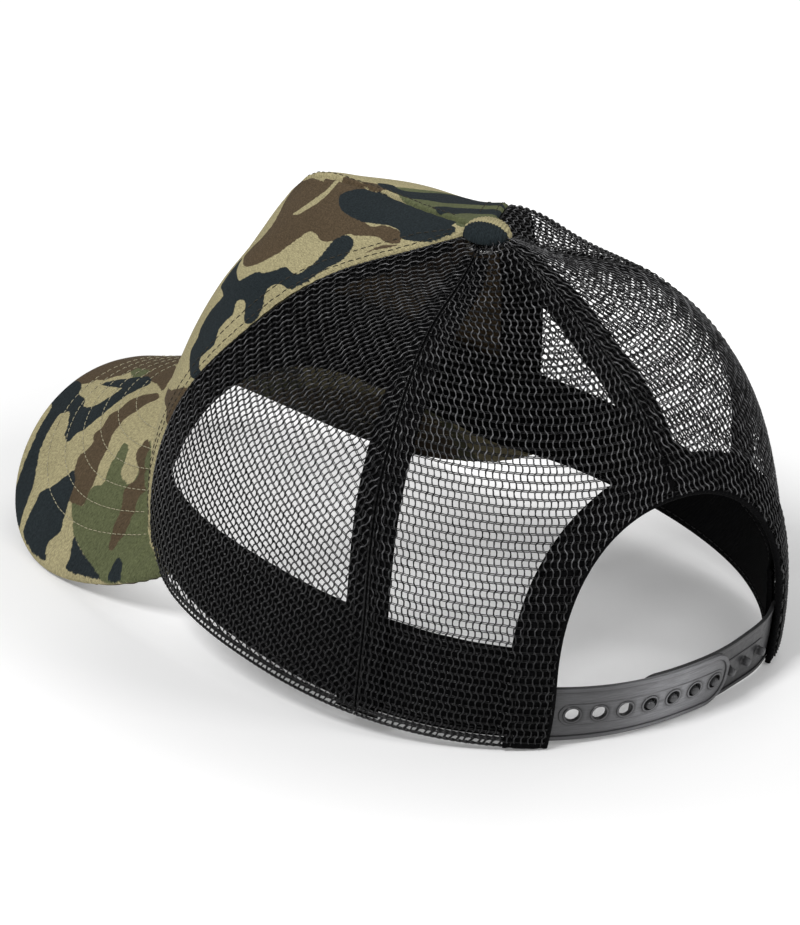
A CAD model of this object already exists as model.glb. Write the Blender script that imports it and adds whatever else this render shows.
import bpy
import math
import numpy as np
from mathutils import Vector, Matrix
from mathutils.geometry import delaunay_2d_cdt


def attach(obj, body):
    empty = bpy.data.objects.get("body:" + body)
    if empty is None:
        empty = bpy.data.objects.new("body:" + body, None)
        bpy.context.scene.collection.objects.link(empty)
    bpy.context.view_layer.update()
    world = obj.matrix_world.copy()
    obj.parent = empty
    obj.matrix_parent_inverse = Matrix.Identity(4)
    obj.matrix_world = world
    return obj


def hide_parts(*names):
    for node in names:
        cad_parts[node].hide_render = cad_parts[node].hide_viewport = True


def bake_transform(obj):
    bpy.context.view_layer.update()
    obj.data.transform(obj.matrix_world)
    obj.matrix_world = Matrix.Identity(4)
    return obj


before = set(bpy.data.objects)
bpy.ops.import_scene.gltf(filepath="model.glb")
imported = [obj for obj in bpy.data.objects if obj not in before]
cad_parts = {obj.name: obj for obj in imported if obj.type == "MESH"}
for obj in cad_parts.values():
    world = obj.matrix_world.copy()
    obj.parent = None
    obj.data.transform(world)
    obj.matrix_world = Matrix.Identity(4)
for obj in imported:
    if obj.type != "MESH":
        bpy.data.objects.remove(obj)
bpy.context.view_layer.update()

RNG = np.random.default_rng(7)

# ------------------------------------------------------------------ design surface (mm)
HW, HL, RP = 82.68, 99.02, 2.255
AY, AZ = 0.45, 116.05
SF, SS = 51.07, 119.43
SOFT = [(18.0, 42.0, 10.0, 8.0, -0.026), (1.0, 50.0, 7.0, 7.0, 0.024), (-62.0, 66.0, 24.0, 12.0, 0.05)]
KEYS = np.array([0, 15, 30, 45, 60, 75, 90.0])
FULLV = [
    [1, 1.0532, 1.0899, 1.1755, 1.0794, 1.0020, 1],
    [1, 1.0349, 1.0495, 1.0176, 0.9921, 0.9683, 1],
    [1, 0.9937, 1.0654, 1.0648, 1.0254, 0.9660, 1],
    [1, 1.0661, 1.0406, 1.0393, 0.9990, 0.9956, 1],
]
SEAM_FWD = 7.0
ARCH_A, ARCH_S, ARCH_B, ARCH_P = 43.2, 20.0, 46.0, 2.22
BIND_W = 10.0
VZ0, VS, VK, VK4 = 30.95, 0.4025, 0.009843, -8.61e-8
VW, VY, VL, VP = 75.2, -82.2, 93.0, 2.245
TILT = math.radians(6.9)
LIFT = 89.2 * math.sin(TILT)
CT, ST = math.cos(TILT), math.sin(TILT)


def to_row(P):
    P = np.asarray(P, float)
    return np.stack([P[..., 0], P[..., 1] * CT + P[..., 2] * ST, -P[..., 1] * ST + P[..., 2] * CT + LIFT], -1) * 0.001


def cubic(xs, ys, clamped=False):
    xs = np.array(xs, float); ys = np.array(ys, float); n = len(xs); h = np.diff(xs)
    A = np.zeros((n, n)); b = np.zeros(n)
    for i in range(1, n - 1):
        A[i, i - 1] = h[i - 1]; A[i, i] = 2 * (h[i - 1] + h[i]); A[i, i + 1] = h[i]
        b[i] = 6 * ((ys[i + 1] - ys[i]) / h[i] - (ys[i] - ys[i - 1]) / h[i - 1])
    if clamped:
        A[0, 0], A[0, 1], b[0] = 2 * h[0], h[0], 6 * (ys[1] - ys[0]) / h[0]
        A[-1, -1], A[-1, -2], b[-1] = 2 * h[-1], h[-1], -6 * (ys[-1] - ys[-2]) / h[-1]
    else:
        A[0, 0] = A[-1, -1] = 1
    m = np.linalg.solve(A, b)

    def f(x):
        x = np.asarray(x, float)
        i = np.clip(np.searchsorted(xs, x) - 1, 0, n - 2)
        t0, t1, hh = xs[i + 1] - x, x - xs[i], h[i]
        return (m[i] * t0**3 + m[i + 1] * t1**3) / (6 * hh) + (ys[i] / hh - m[i] * hh / 6) * t0 + (ys[i + 1] / hh - m[i + 1] * hh / 6) * t1

    return f


FULL = [cubic(KEYS, q) for q in FULLV]
WGT = [cubic([0, SF, SS, 180], np.eye(4)[k], True) for k in range(4)]


def rim(th):
    t = np.radians(th); c, s = np.sin(t), -np.cos(t)
    r = (np.abs(c / HW) ** RP + np.abs(s / HL) ** RP) ** (-1 / RP)
    return r * c, r * s


def crown(th, psi):
    th, psi = np.broadcast_arrays(np.asarray(th, float), np.asarray(psi, float))
    fold = np.abs((th + 180) % 360 - 180)
    g = sum(w(fold) * f(psi) for w, f in zip(WGT, FULL))
    # the cloth's own soft departures from the even shape
    tw = (th + 180) % 360 - 180
    for t0, p0, tw_, pw_, amp in SOFT:
        g = g * (1 + amp * np.exp(-((tw - t0) / tw_) ** 2 - ((psi - p0) / pw_) ** 2))
    x, y = rim(th)
    c, s = np.cos(np.radians(psi)), np.sin(np.radians(psi))
    return np.stack([x * g * c, AY + (y - AY) * g * c, g * s * AZ], -1)


def crown_n(th, psi):
    e = 0.02
    a = crown(np.asarray(th) + e, psi) - crown(np.asarray(th) - e, psi)
    b = crown(th, np.asarray(psi) + e) - crown(th, np.asarray(psi) - e)
    n = np.cross(a, b)
    return n / np.linalg.norm(n, axis=-1, keepdims=True)


def crown_at(th, psi, d):
    n = crown_n(th, psi)
    return crown(th, psi) - n * np.asarray(d)[..., None], n


def psi_at(th, height, d=0.0):
    th, height = np.broadcast_arrays(np.asarray(th, float), np.asarray(height, float))
    lo, hi = np.full(th.shape, -9.0), np.full(th.shape, 80.0)
    for _ in range(32):
        mid = (lo + hi) / 2
        z = crown_at(th, mid, d)[0][..., 2] if np.any(np.asarray(d) != 0) else crown(th, mid)[..., 2]
        lo, hi = np.where(z < height, mid, lo), np.where(z < height, hi, mid)
    return (lo + hi) / 2


def visor_z(x, y):
    return VZ0 - VK * x**2 - VK4 * x**4 - VS * (-y - 99)


def visor_n(x, y):
    dx = -2 * VK * x - 4 * VK4 * x**3
    n = np.stack([-dx, -VS + 0 * x, 1 + 0 * x], -1)
    return n / np.linalg.norm(n, axis=-1, keepdims=True)


_thr = np.linspace(-180, 180, 721)


def _rim_height(th, lift):
    x, y = rim(th)
    h = visor_z(x, y) + lift
    for _ in range(5):
        p = crown(th, psi_at(th, np.clip(h, -5, 60)))
        h = visor_z(p[..., 0], p[..., 1]) + lift
    fold = np.abs((th + 180) % 360 - 180)
    k = np.clip((fold - 58) / 20, 0, 1); k = k * k * (3 - 2 * k)
    h = h * (1 - k) - 8.0 * k
    return 0.5 * (h + np.sqrt(h**2 + 2.25))


_rh = {}


def rim_height(th, lift):
    """Height of the crown's lower edge, from a table."""
    if lift not in _rh:
        _rh[lift] = _rim_height(_thr, lift)
    f = (np.asarray(th, float) + 180) % 360 - 180
    return np.interp(f, _thr, _rh[lift])


def arch_norm(x, z):
    """Below 1 inside the arched opening."""
    return np.where(z > ARCH_S, (np.abs(x / ARCH_A) ** ARCH_P + np.abs((z - ARCH_S) / ARCH_B) ** ARCH_P) ** (1 / ARCH_P), np.abs(x) / ARCH_A)


def arch_dist(x, z):
    """Rough distance outside the arch outline, in mm."""
    return (arch_norm(x, z) - 1) * 44.0


def sf(psi, side=1.0):
    """Angle of the front seam: on the left it runs a little forwards towards the visor."""
    t = np.clip((np.asarray(psi, float) - 4.0) / 40.0, 0, 1)
    return SF - SEAM_FWD * (1 - t * t * (3 - 2 * t)) * (np.asarray(side) > 0)


def smooth(a, b, x):
    t = np.clip((x - a) / (b - a), 0, 1)
    return t * t * (3 - 2 * t)


# ------------------------------------------------------------------ smooth 3D value noise (seeded)
_G = RNG.random((32, 32, 32))


def vnoise(P, scale):
    """Smooth noise in 0..1 at points P (mm), with features of about scale mm."""
    q = np.asarray(P, float) / scale + 1000.0
    i = np.floor(q).astype(int); f = q - i; f = f * f * (3 - 2 * f)
    out = 0
    for dx in (0, 1):
        for dy in (0, 1):
            for dz in (0, 1):
                w = (f[..., 0] if dx else 1 - f[..., 0]) * (f[..., 1] if dy else 1 - f[..., 1]) * (f[..., 2] if dz else 1 - f[..., 2])
                out = out + w * _G[(i[..., 0] + dx) % 32, (i[..., 1] + dy) % 32, (i[..., 2] + dz) % 32]
    return out


# ------------------------------------------------------------------ mesh building
class Builder:
    """Collects quads and triangles, in design mm, with optional per-vertex attributes."""

    def __init__(self):
        self.V, self.Q, self.T, self.A, self.n = [], [], [], {}, 0

    def add(self, V, quads=None, tris=None, **attrs):
        V = np.asarray(V, float).reshape(-1, 3)
        if quads is not None and len(quads):
            self.Q.append(np.asarray(quads, np.int64).reshape(-1, 4) + self.n)
        if tris is not None and len(tris):
            self.T.append(np.asarray(tris, np.int64).reshape(-1, 3) + self.n)
        for k, a in attrs.items():
            self.A.setdefault(k, []).append((self.n, np.asarray(a, float)))
        self.V.append(V)
        self.n += len(V)
        return self

    def build(self, name, mat, body="crown", slot=None, replaces=(), smooth_angle=None, in_row=False):
        V = np.concatenate(self.V)
        if not in_row:
            V = to_row(V)
        Q = np.concatenate(self.Q) if self.Q else np.zeros((0, 4), np.int64)
        T = np.concatenate(self.T) if self.T else np.zeros((0, 3), np.int64)
        me = bpy.data.meshes.new(name)
        me.vertices.add(len(V)); me.vertices.foreach_set("co", V.astype(np.float32).ravel())
        loops = np.concatenate([Q.ravel(), T.ravel()])
        me.loops.add(len(loops)); me.loops.foreach_set("vertex_index", loops.astype(np.int32))
        start = np.concatenate([np.arange(len(Q)) * 4, len(Q) * 4 + np.arange(len(T)) * 3])
        me.polygons.add(len(start)); me.polygons.foreach_set("loop_start", start.astype(np.int32))
        me.update(calc_edges=True)
        me.polygons.foreach_set("use_smooth", np.ones(len(start), bool))
        me.validate()
        for k, parts in self.A.items():
            vec = parts[0][1].ndim == 2
            arr = np.zeros((len(V), 3) if vec else len(V))
            for off, a in parts:
                arr[off:off + len(a)] = a
            at = me.attributes.new(k, "FLOAT_VECTOR" if vec else "FLOAT", "POINT")
            at.data.foreach_set("vector" if vec else "value", arr.astype(np.float32).ravel())
        me.materials.append(mat)
        ob = bpy.data.objects.new(name, me)
        bpy.context.scene.collection.objects.link(ob)
        if smooth_angle is not None:
            me.set_sharp_from_angle(angle=math.radians(smooth_angle))
        if replaces:
            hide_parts(*replaces)
        if body:
            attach(ob, body)
        return ob


def grid_quads(nu, nv, flip=False, base=0):
    i, j = np.meshgrid(np.arange(nu - 1), np.arange(nv - 1), indexing="ij")
    a = i * nv + j
    q = np.stack([a, a + nv, a + nv + 1, a + 1], -1).reshape(-1, 4) + base
    return q[:, ::-1] if flip else q


def shell(outer, inner):
    """Vertices and quads of a closed sheet from two matching grids."""
    nu, nv = outer.shape[:2]
    V = np.concatenate([outer.reshape(-1, 3), inner.reshape(-1, 3)])
    m = nu * nv
    Q = [grid_quads(nu, nv), grid_quads(nu, nv, True, m)]
    idx = np.arange(m).reshape(nu, nv)
    for line, flip in ((idx[:, 0], True), (idx[:, -1], False), (idx[0, :], False), (idx[-1, :], True)):
        a, b = line[:-1], line[1:]
        q = np.stack([a, b, b + m, a + m], -1)
        Q.append(q[:, ::-1] if not flip else q)
    return V, np.concatenate(Q)


def tubes(B, polys, sides=5, **attrs):
    """Adds tubes: each poly is (P, N, half width, half thickness)."""
    ph = np.arange(sides) * 2 * np.pi / sides + 0.3
    for P, N, w, t in polys:
        n = len(P)
        if n < 2:
            continue
        T = np.gradient(P, axis=0)
        T /= np.linalg.norm(T, axis=1, keepdims=True) + 1e-12
        S = np.cross(T, N); S /= np.linalg.norm(S, axis=1, keepdims=True) + 1e-12
        M = np.cross(S, T)
        w = np.broadcast_to(w, (n,)); t = np.broadcast_to(t, (n,))
        R = P[:, None] + S[:, None] * (w[:, None] * np.cos(ph))[..., None] + M[:, None] * (t[:, None] * np.sin(ph))[..., None]
        V = R.reshape(-1, 3)
        i, j = np.meshgrid(np.arange(n - 1), np.arange(sides), indexing="ij")
        k = (j + 1) % sides
        Q = np.stack([i * sides + j, (i + 1) * sides + j, (i + 1) * sides + k, i * sides + k], -1).reshape(-1, 4)
        caps = [[0, j, j + 1] for j in range(1, sides - 1)]
        e = (n - 1) * sides
        caps += [[e, e + j + 1, e + j] for j in range(1, sides - 1)]
        B.add(V, Q, caps, **{a: np.repeat(v, sides, 0) if np.ndim(v) else np.full(len(V), v) for a, v in attrs.items()})


def resample(P, step=None, count=None):
    s = np.concatenate([[0], np.cumsum(np.linalg.norm(np.diff(P, axis=0), axis=1))])
    n = count or max(2, int(round(s[-1] / step)) + 1)
    t = np.linspace(0, s[-1], n)
    return np.stack([np.interp(t, s, P[:, k]) for k in range(P.shape[1])], -1), t


def stitch_row(B, P, N, pitch=3.1, length=2.3, r=0.2, lift=0.06, start=0.5):
    """A row of separate lock stitches along a path that lies on the cloth."""
    s = np.concatenate([[0], np.cumsum(np.linalg.norm(np.diff(P, axis=0), axis=1))])
    k = start
    polys = []
    while k + length < s[-1] - 0.3:
        ln = length * (0.94 + 0.12 * RNG.random())
        t = k + ln * np.array([0, 0.12, 0.36, 0.64, 0.88, 1.0])
        p = np.stack([np.interp(t, s, P[:, c]) for c in range(3)], -1)
        n = np.stack([np.interp(t, s, N[:, c]) for c in range(3)], -1)
        n /= np.linalg.norm(n, axis=1, keepdims=True)
        side = np.cross(np.gradient(p, axis=0), n); side /= np.linalg.norm(side, axis=1, keepdims=True)
        h = np.array([-0.25, lift, lift + 0.1, lift + 0.1, lift, -0.25])
        p = p + n * h[:, None] + side * ((RNG.random() - 0.5) * 0.12)
        rr = r * np.array([0.55, 0.95, 1, 1, 0.95, 0.55])
        polys.append((p, n, rr, rr))
        k += pitch
    tubes(B, polys, 6)


# ------------------------------------------------------------------ materials
def lin(r, g, b):
    return tuple(((c / 255) / 12.92 if c / 255 <= 0.04045 else ((c / 255 + 0.055) / 1.055) ** 2.4) for c in (r, g, b))


class Mat:
    def __init__(self, name, rough=0.8, color=(0.5, 0.5, 0.5), spec=0.5):
        self.m = bpy.data.materials.new(name)
        self.m.use_nodes = True
        self.t = self.m.node_tree
        self.t.nodes.clear()
        self.o = self.t.nodes.new("ShaderNodeOutputMaterial")
        self.b = self.t.nodes.new("ShaderNodeBsdfPrincipled")
        self.t.links.new(self.b.outputs[0], self.o.inputs[0])
        self.b.inputs["Roughness"].default_value = rough
        self.b.inputs["Base Color"].default_value = (*color, 1)
        self.b.inputs["Specular IOR Level"].default_value = spec

    def put(self, node, key, val):
        if hasattr(val, "is_output"):
            self.t.links.new(val, node.inputs[key])
        elif val is not None:
            node.inputs[key].default_value = val

    def n(self, kind, ins=None, **props):
        x = self.t.nodes.new(kind)
        for k, v in props.items():
            setattr(x, k, v)
        for k, v in (ins or {}).items():
            self.put(x, k, v)
        return x

    def math(self, op, a, b=None, c=None):
        return self.n("ShaderNodeMath", {0: a, 1: b, 2: c}, operation=op).outputs[0]

    def attr(self, name, vec=False):
        x = self.n("ShaderNodeAttribute", attribute_name=name)
        return x.outputs["Vector"] if vec else x.outputs["Fac"]

    def noise(self, vec, scale, detail=2.0, rough=0.5):
        return self.n("ShaderNodeTexNoise", {"Vector": vec, "Scale": scale, "Detail": detail, "Roughness": rough}).outputs[0]

    def ramp(self, fac, a, b, va=0.0, vb=1.0, smoothed=True):
        return self.n("ShaderNodeMapRange", {0: fac, 1: a, 2: b, 3: va, 4: vb}, interpolation_type="SMOOTHSTEP" if smoothed else "LINEAR").outputs[0]

    def mix(self, fac, a, b, kind="MIX"):
        x = self.n("ShaderNodeMix", data_type="RGBA", blend_type=kind)
        self.put(x, 0, fac)
        self.put(x, 6, (*a, 1) if isinstance(a, tuple) and len(a) == 3 else a)
        self.put(x, 7, (*b, 1) if isinstance(b, tuple) and len(b) == 3 else b)
        return x.outputs[2]

    def bump(self, height, strength, dist, normal=None):
        x = self.n("ShaderNodeBump", {"Height": height, "Strength": strength, "Distance": dist})
        if normal is not None:
            self.put(x, "Normal", normal)
        return x.outputs[0]

    def obj(self):
        return self.n("ShaderNodeTexCoord").outputs["Object"]


TAN, BROWN, BLACK, OLIVE = lin(164, 155, 119), lin(84, 71, 54), lin(36, 43, 46), lin(92, 97, 68)


def twill(M, vec, pitch=0.55, depth=0.00012, strength=0.5):
    """Diagonal twill from pattern coordinates in mm; returns (height, normal)."""
    sx = M.n("ShaderNodeSeparateXYZ", {0: vec})
    x, y = sx.outputs[0], sx.outputs[1]
    k = 2 * math.pi / pitch
    wob = M.math("MULTIPLY", M.noise(vec, 1.3, 2), 1.6)
    d = M.math("SINE", M.math("ADD", M.math("MULTIPLY", M.math("ADD", x, y), k * 0.72), wob))
    f = M.math("SINE", M.math("MULTIPLY", M.math("SUBTRACT", y, x), k * 1.6))
    h = M.math("ADD", M.math("MULTIPLY", d, 0.5), M.math("MULTIPLY", f, 0.22))
    g = M.math("MULTIPLY", M.noise(vec, 5.0, 2), 0.9)
    h = M.math("ADD", h, g)
    return h, M.bump(h, strength, depth)


def camo_material(name, faded=0.0):
    M = Mat(name, rough=0.9, spec=0.08)
    pat = M.attr("pat", True)
    jit = M.math("MULTIPLY", M.math("SUBTRACT", M.noise(pat, 0.55, 3, 0.6), 0.5), 1.1)
    fine = M.math("MULTIPLY", M.math("SUBTRACT", M.noise(pat, 3.2, 2), 0.5), 0.55)
    jit = M.math("ADD", jit, fine)

    def mask(a):
        return M.ramp(M.math("ADD", M.attr(a), jit), 0.16, -0.16)

    col = M.mix(mask("sd_olive"), TAN, OLIVE)
    col = M.mix(mask("sd_brown"), col, BROWN)
    col = M.mix(mask("sd_black"), col, BLACK)
    col = M.mix(mask("sd_tan"), col, TAN)
    # yarn-scale mottling and slow tone drift
    h, nrm = twill(M, pat)
    sp = M.math("MULTIPLY", M.ramp(M.noise(pat, 1.5, 3, 0.8), 0.3, 0.7, 0.52, 1.46, False), M.ramp(M.noise(pat, 0.55, 2, 0.6), 0.3, 0.7, 0.9, 1.1, False))
    sl = M.ramp(M.noise(pat, 0.05, 2), 0.3, 0.7, 0.94, 1.06, False)
    tw = M.ramp(h, -0.4, 1.3, 0.86, 1.12, False)
    v = M.math("MULTIPLY", M.math("MULTIPLY", sp, sl), tw)
    vv = M.n("ShaderNodeCombineColor", {0: v, 1: v, 2: v}).outputs[0]
    col = M.mix(1.0, col, vv, "MULTIPLY")
    if faded:
        col = M.mix(faded, col, lin(74, 66, 54))
    M.put(M.b, "Base Color", col)
    M.put(M.b, "Normal", nrm)
    M.b.inputs["Sheen Weight"].default_value = 0.02
    M.b.inputs["Sheen Roughness"].default_value = 0.5
    return M.m


def black_cloth(name, base=(0.0042, 0.0042, 0.0046), pitch=0.7, rough=0.9):
    M = Mat(name, rough=rough, spec=0.05)
    pat = M.attr("pat", True)
    h, nrm = twill(M, pat, pitch, 0.00016, 0.6)
    sp = M.ramp(M.noise(pat, 2.2, 3, 0.7), 0.25, 0.8, 0.6, 1.5, False)
    tw = M.ramp(h, -0.4, 1.3, 0.7, 1.3, False)
    v = M.math("MULTIPLY", sp, tw)
    vv = M.n("ShaderNodeCombineColor", {0: v, 1: v, 2: v}).outputs[0]
    M.put(M.b, "Base Color", M.mix(1.0, base, vv, "MULTIPLY"))
    M.put(M.b, "Normal", nrm)
    M.b.inputs["Sheen Weight"].default_value = 0.0
    return M.m


def yarn_material():
    M = Mat("mesh_yarn", rough=0.3, color=(0.004, 0.004, 0.0045), spec=0.3)
    o = M.obj()
    n = M.noise(o, 900.0, 2)
    M.put(M.b, "Roughness", M.ramp(n, 0.3, 0.7, 0.2, 0.4, False))
    w = M.noise(o, 2600.0, 2)
    M.put(M.b, "Normal", M.bump(w, 0.15, 0.00008))
    c = M.ramp(M.noise(o, 60.0, 2), 0.3, 0.7, 0.7, 1.5, False)
    vv = M.n("ShaderNodeCombineColor", {0: c, 1: c, 2: c}).outputs[0]
    dark = M.mix(1.0, (0.0022, 0.0022, 0.0026), vv, "MULTIPLY")
    patchy = M.ramp(M.noise(o, 420.0, 2, 0.6), 0.38, 0.66, 0.06, 1.0, False)
    high = M.ramp(M.n("ShaderNodeSeparateXYZ", {0: o}).outputs[2], 0.022, 0.07, 0.22, 1.0)
    M.put(M.b, "Base Color", M.mix(M.math("MULTIPLY", M.math("MULTIPLY", M.attr("crest"), patchy), high), dark, (0.25, 0.25, 0.257)))
    return M.m


def plastic_material():
    M = Mat("strap_plastic", rough=0.38, spec=0.6)
    pat = M.attr("pat", True)
    g = M.noise(pat, 2.4, 3, 0.6)
    mp = M.n("ShaderNodeMapping", {0: pat}, vector_type="POINT")
    mp.inputs["Scale"].default_value = (0.12, 1.6, 1)
    streak = M.noise(mp.outputs[0], 1.6, 3, 0.6)
    h = M.math("ADD", M.math("MULTIPLY", g, 0.6), M.math("MULTIPLY", streak, 0.9))
    M.put(M.b, "Normal", M.bump(h, 0.35, 0.00014))
    M.put(M.b, "Roughness", M.ramp(M.noise(pat, 0.7, 3), 0.3, 0.7, 0.3, 0.46, False))
    tone = M.attr("tone")
    s = M.ramp(streak, 0.3, 0.72, 0.8, 1.22)
    v = M.math("MULTIPLY", M.math("MULTIPLY", s, tone), M.math("SUBTRACT", 1.0, M.math("MULTIPLY", M.attr("crease"), 0.85)))
    vv = M.n("ShaderNodeCombineColor", {0: v, 1: v, 2: M.math("MULTIPLY", v, 1.05)}).outputs[0]
    M.put(M.b, "Base Color", vv)
    return M.m


def thread_material(name, color, rough=0.7):
    M = Mat(name, rough=rough, spec=0.35)
    o = M.obj()
    w = M.n("ShaderNodeTexWave", {"Vector": o, "Scale": 700.0, "Distortion": 2.0}, wave_type="BANDS", bands_direction="DIAGONAL")
    c = M.mix(M.ramp(w.outputs[1], 0.2, 0.9), tuple(x * 0.62 for x in color), tuple(min(1, x * 1.15) for x in color))
    M.put(M.b, "Base Color", c)
    M.put(M.b, "Normal", M.bump(w.outputs[1], 0.5, 0.00006))
    return M.m


def plain_cloth(name, color, pitch=0.9, rough=0.9):
    M = Mat(name, rough=rough, spec=0.2)
    pat = M.attr("pat", True)
    h, nrm = twill(M, pat, pitch, 0.00015, 0.6)
    v = M.ramp(h, -0.4, 1.3, 0.75, 1.15, False)
    vv = M.n("ShaderNodeCombineColor", {0: v, 1: v, 2: v}).outputs[0]
    M.put(M.b, "Base Color", M.mix(1.0, color, vv, "MULTIPLY"))
    M.put(M.b, "Normal", nrm)
    return M.m


def metal_material():
    M = Mat("button_metal", rough=0.35, color=(0.55, 0.55, 0.54))
    M.b.inputs["Metallic"].default_value = 1.0
    n = M.noise(M.obj(), 1500.0, 3)
    M.put(M.b, "Roughness", M.ramp(n, 0.3, 0.7, 0.25, 0.5, False))
    M.put(M.b, "Normal", M.bump(n, 0.1, 0.00005))
    return M.m


CAMO = camo_material("camo_cloth")
CAMO_BACK = camo_material("camo_cloth_back", 0.45)
YARN = yarn_material()
TAPE = black_cloth("black_tape")
SWEAT = black_cloth("sweatband_twill", (0.004, 0.004, 0.0044), 0.9)
PLASTIC = plastic_material()
THREAD = thread_material("khaki_thread", lin(172, 166, 138))
THREAD_DK = thread_material("dark_thread", lin(60, 55, 44))
THREAD_BK = thread_material("black_thread", (0.009, 0.009, 0.01), 0.5)
BUCK = plain_cloth("buckram", lin(58, 48, 40), 1.4)
FELT = plain_cloth("interlining", lin(200, 198, 190), 1.2)
METAL = metal_material()


def board_material():
    M = Mat("visor_board_plastic", rough=0.5, color=(0.72, 0.72, 0.7))
    n = M.noise(M.obj(), 400.0, 3)
    M.put(M.b, "Roughness", M.ramp(n, 0.3, 0.7, 0.4, 0.6, False))
    M.put(M.b, "Normal", M.bump(n, 0.15, 0.0001))
    return M.m


BOARD = board_material()
BIND = black_cloth("binding_knit", (0.003, 0.003, 0.0034), 1.1, 0.7)
SIDE_ANGLE = -30.0
VROW0, VROWP = 10.5, 5.4
VKEEP0, VKEEP1 = 18.0, 28.0
BTN_RIB = 2.2
BTN_SPLIT = 3.665
TONE_A, TONE_B, TONE_P, TONE_PEG = 0.07, 0.26, 0.045, 0.07
WORLD = 0.42
WORLD_GLOSS = 0.08
FLOOR_GLOW = 0.14
FLOOR_FAR = 0.42
GLOW_FRONT, GLOW_BACK = 0.6, 0.0
LAMPS = [
    ("key", (1.25, 0.25, 1.75), (0, 0, 0.05), (0.6, 0.6), 27.0),
    ("fill", (-0.7, 1.5, 1.1), (0, 0, 0.05), (0.5, 1.0), 8.0),
    ("front", (-1.3, -0.6, 1.5), (0, 0, 0.05), (1.0, 1.0), 6.0),
]

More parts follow.
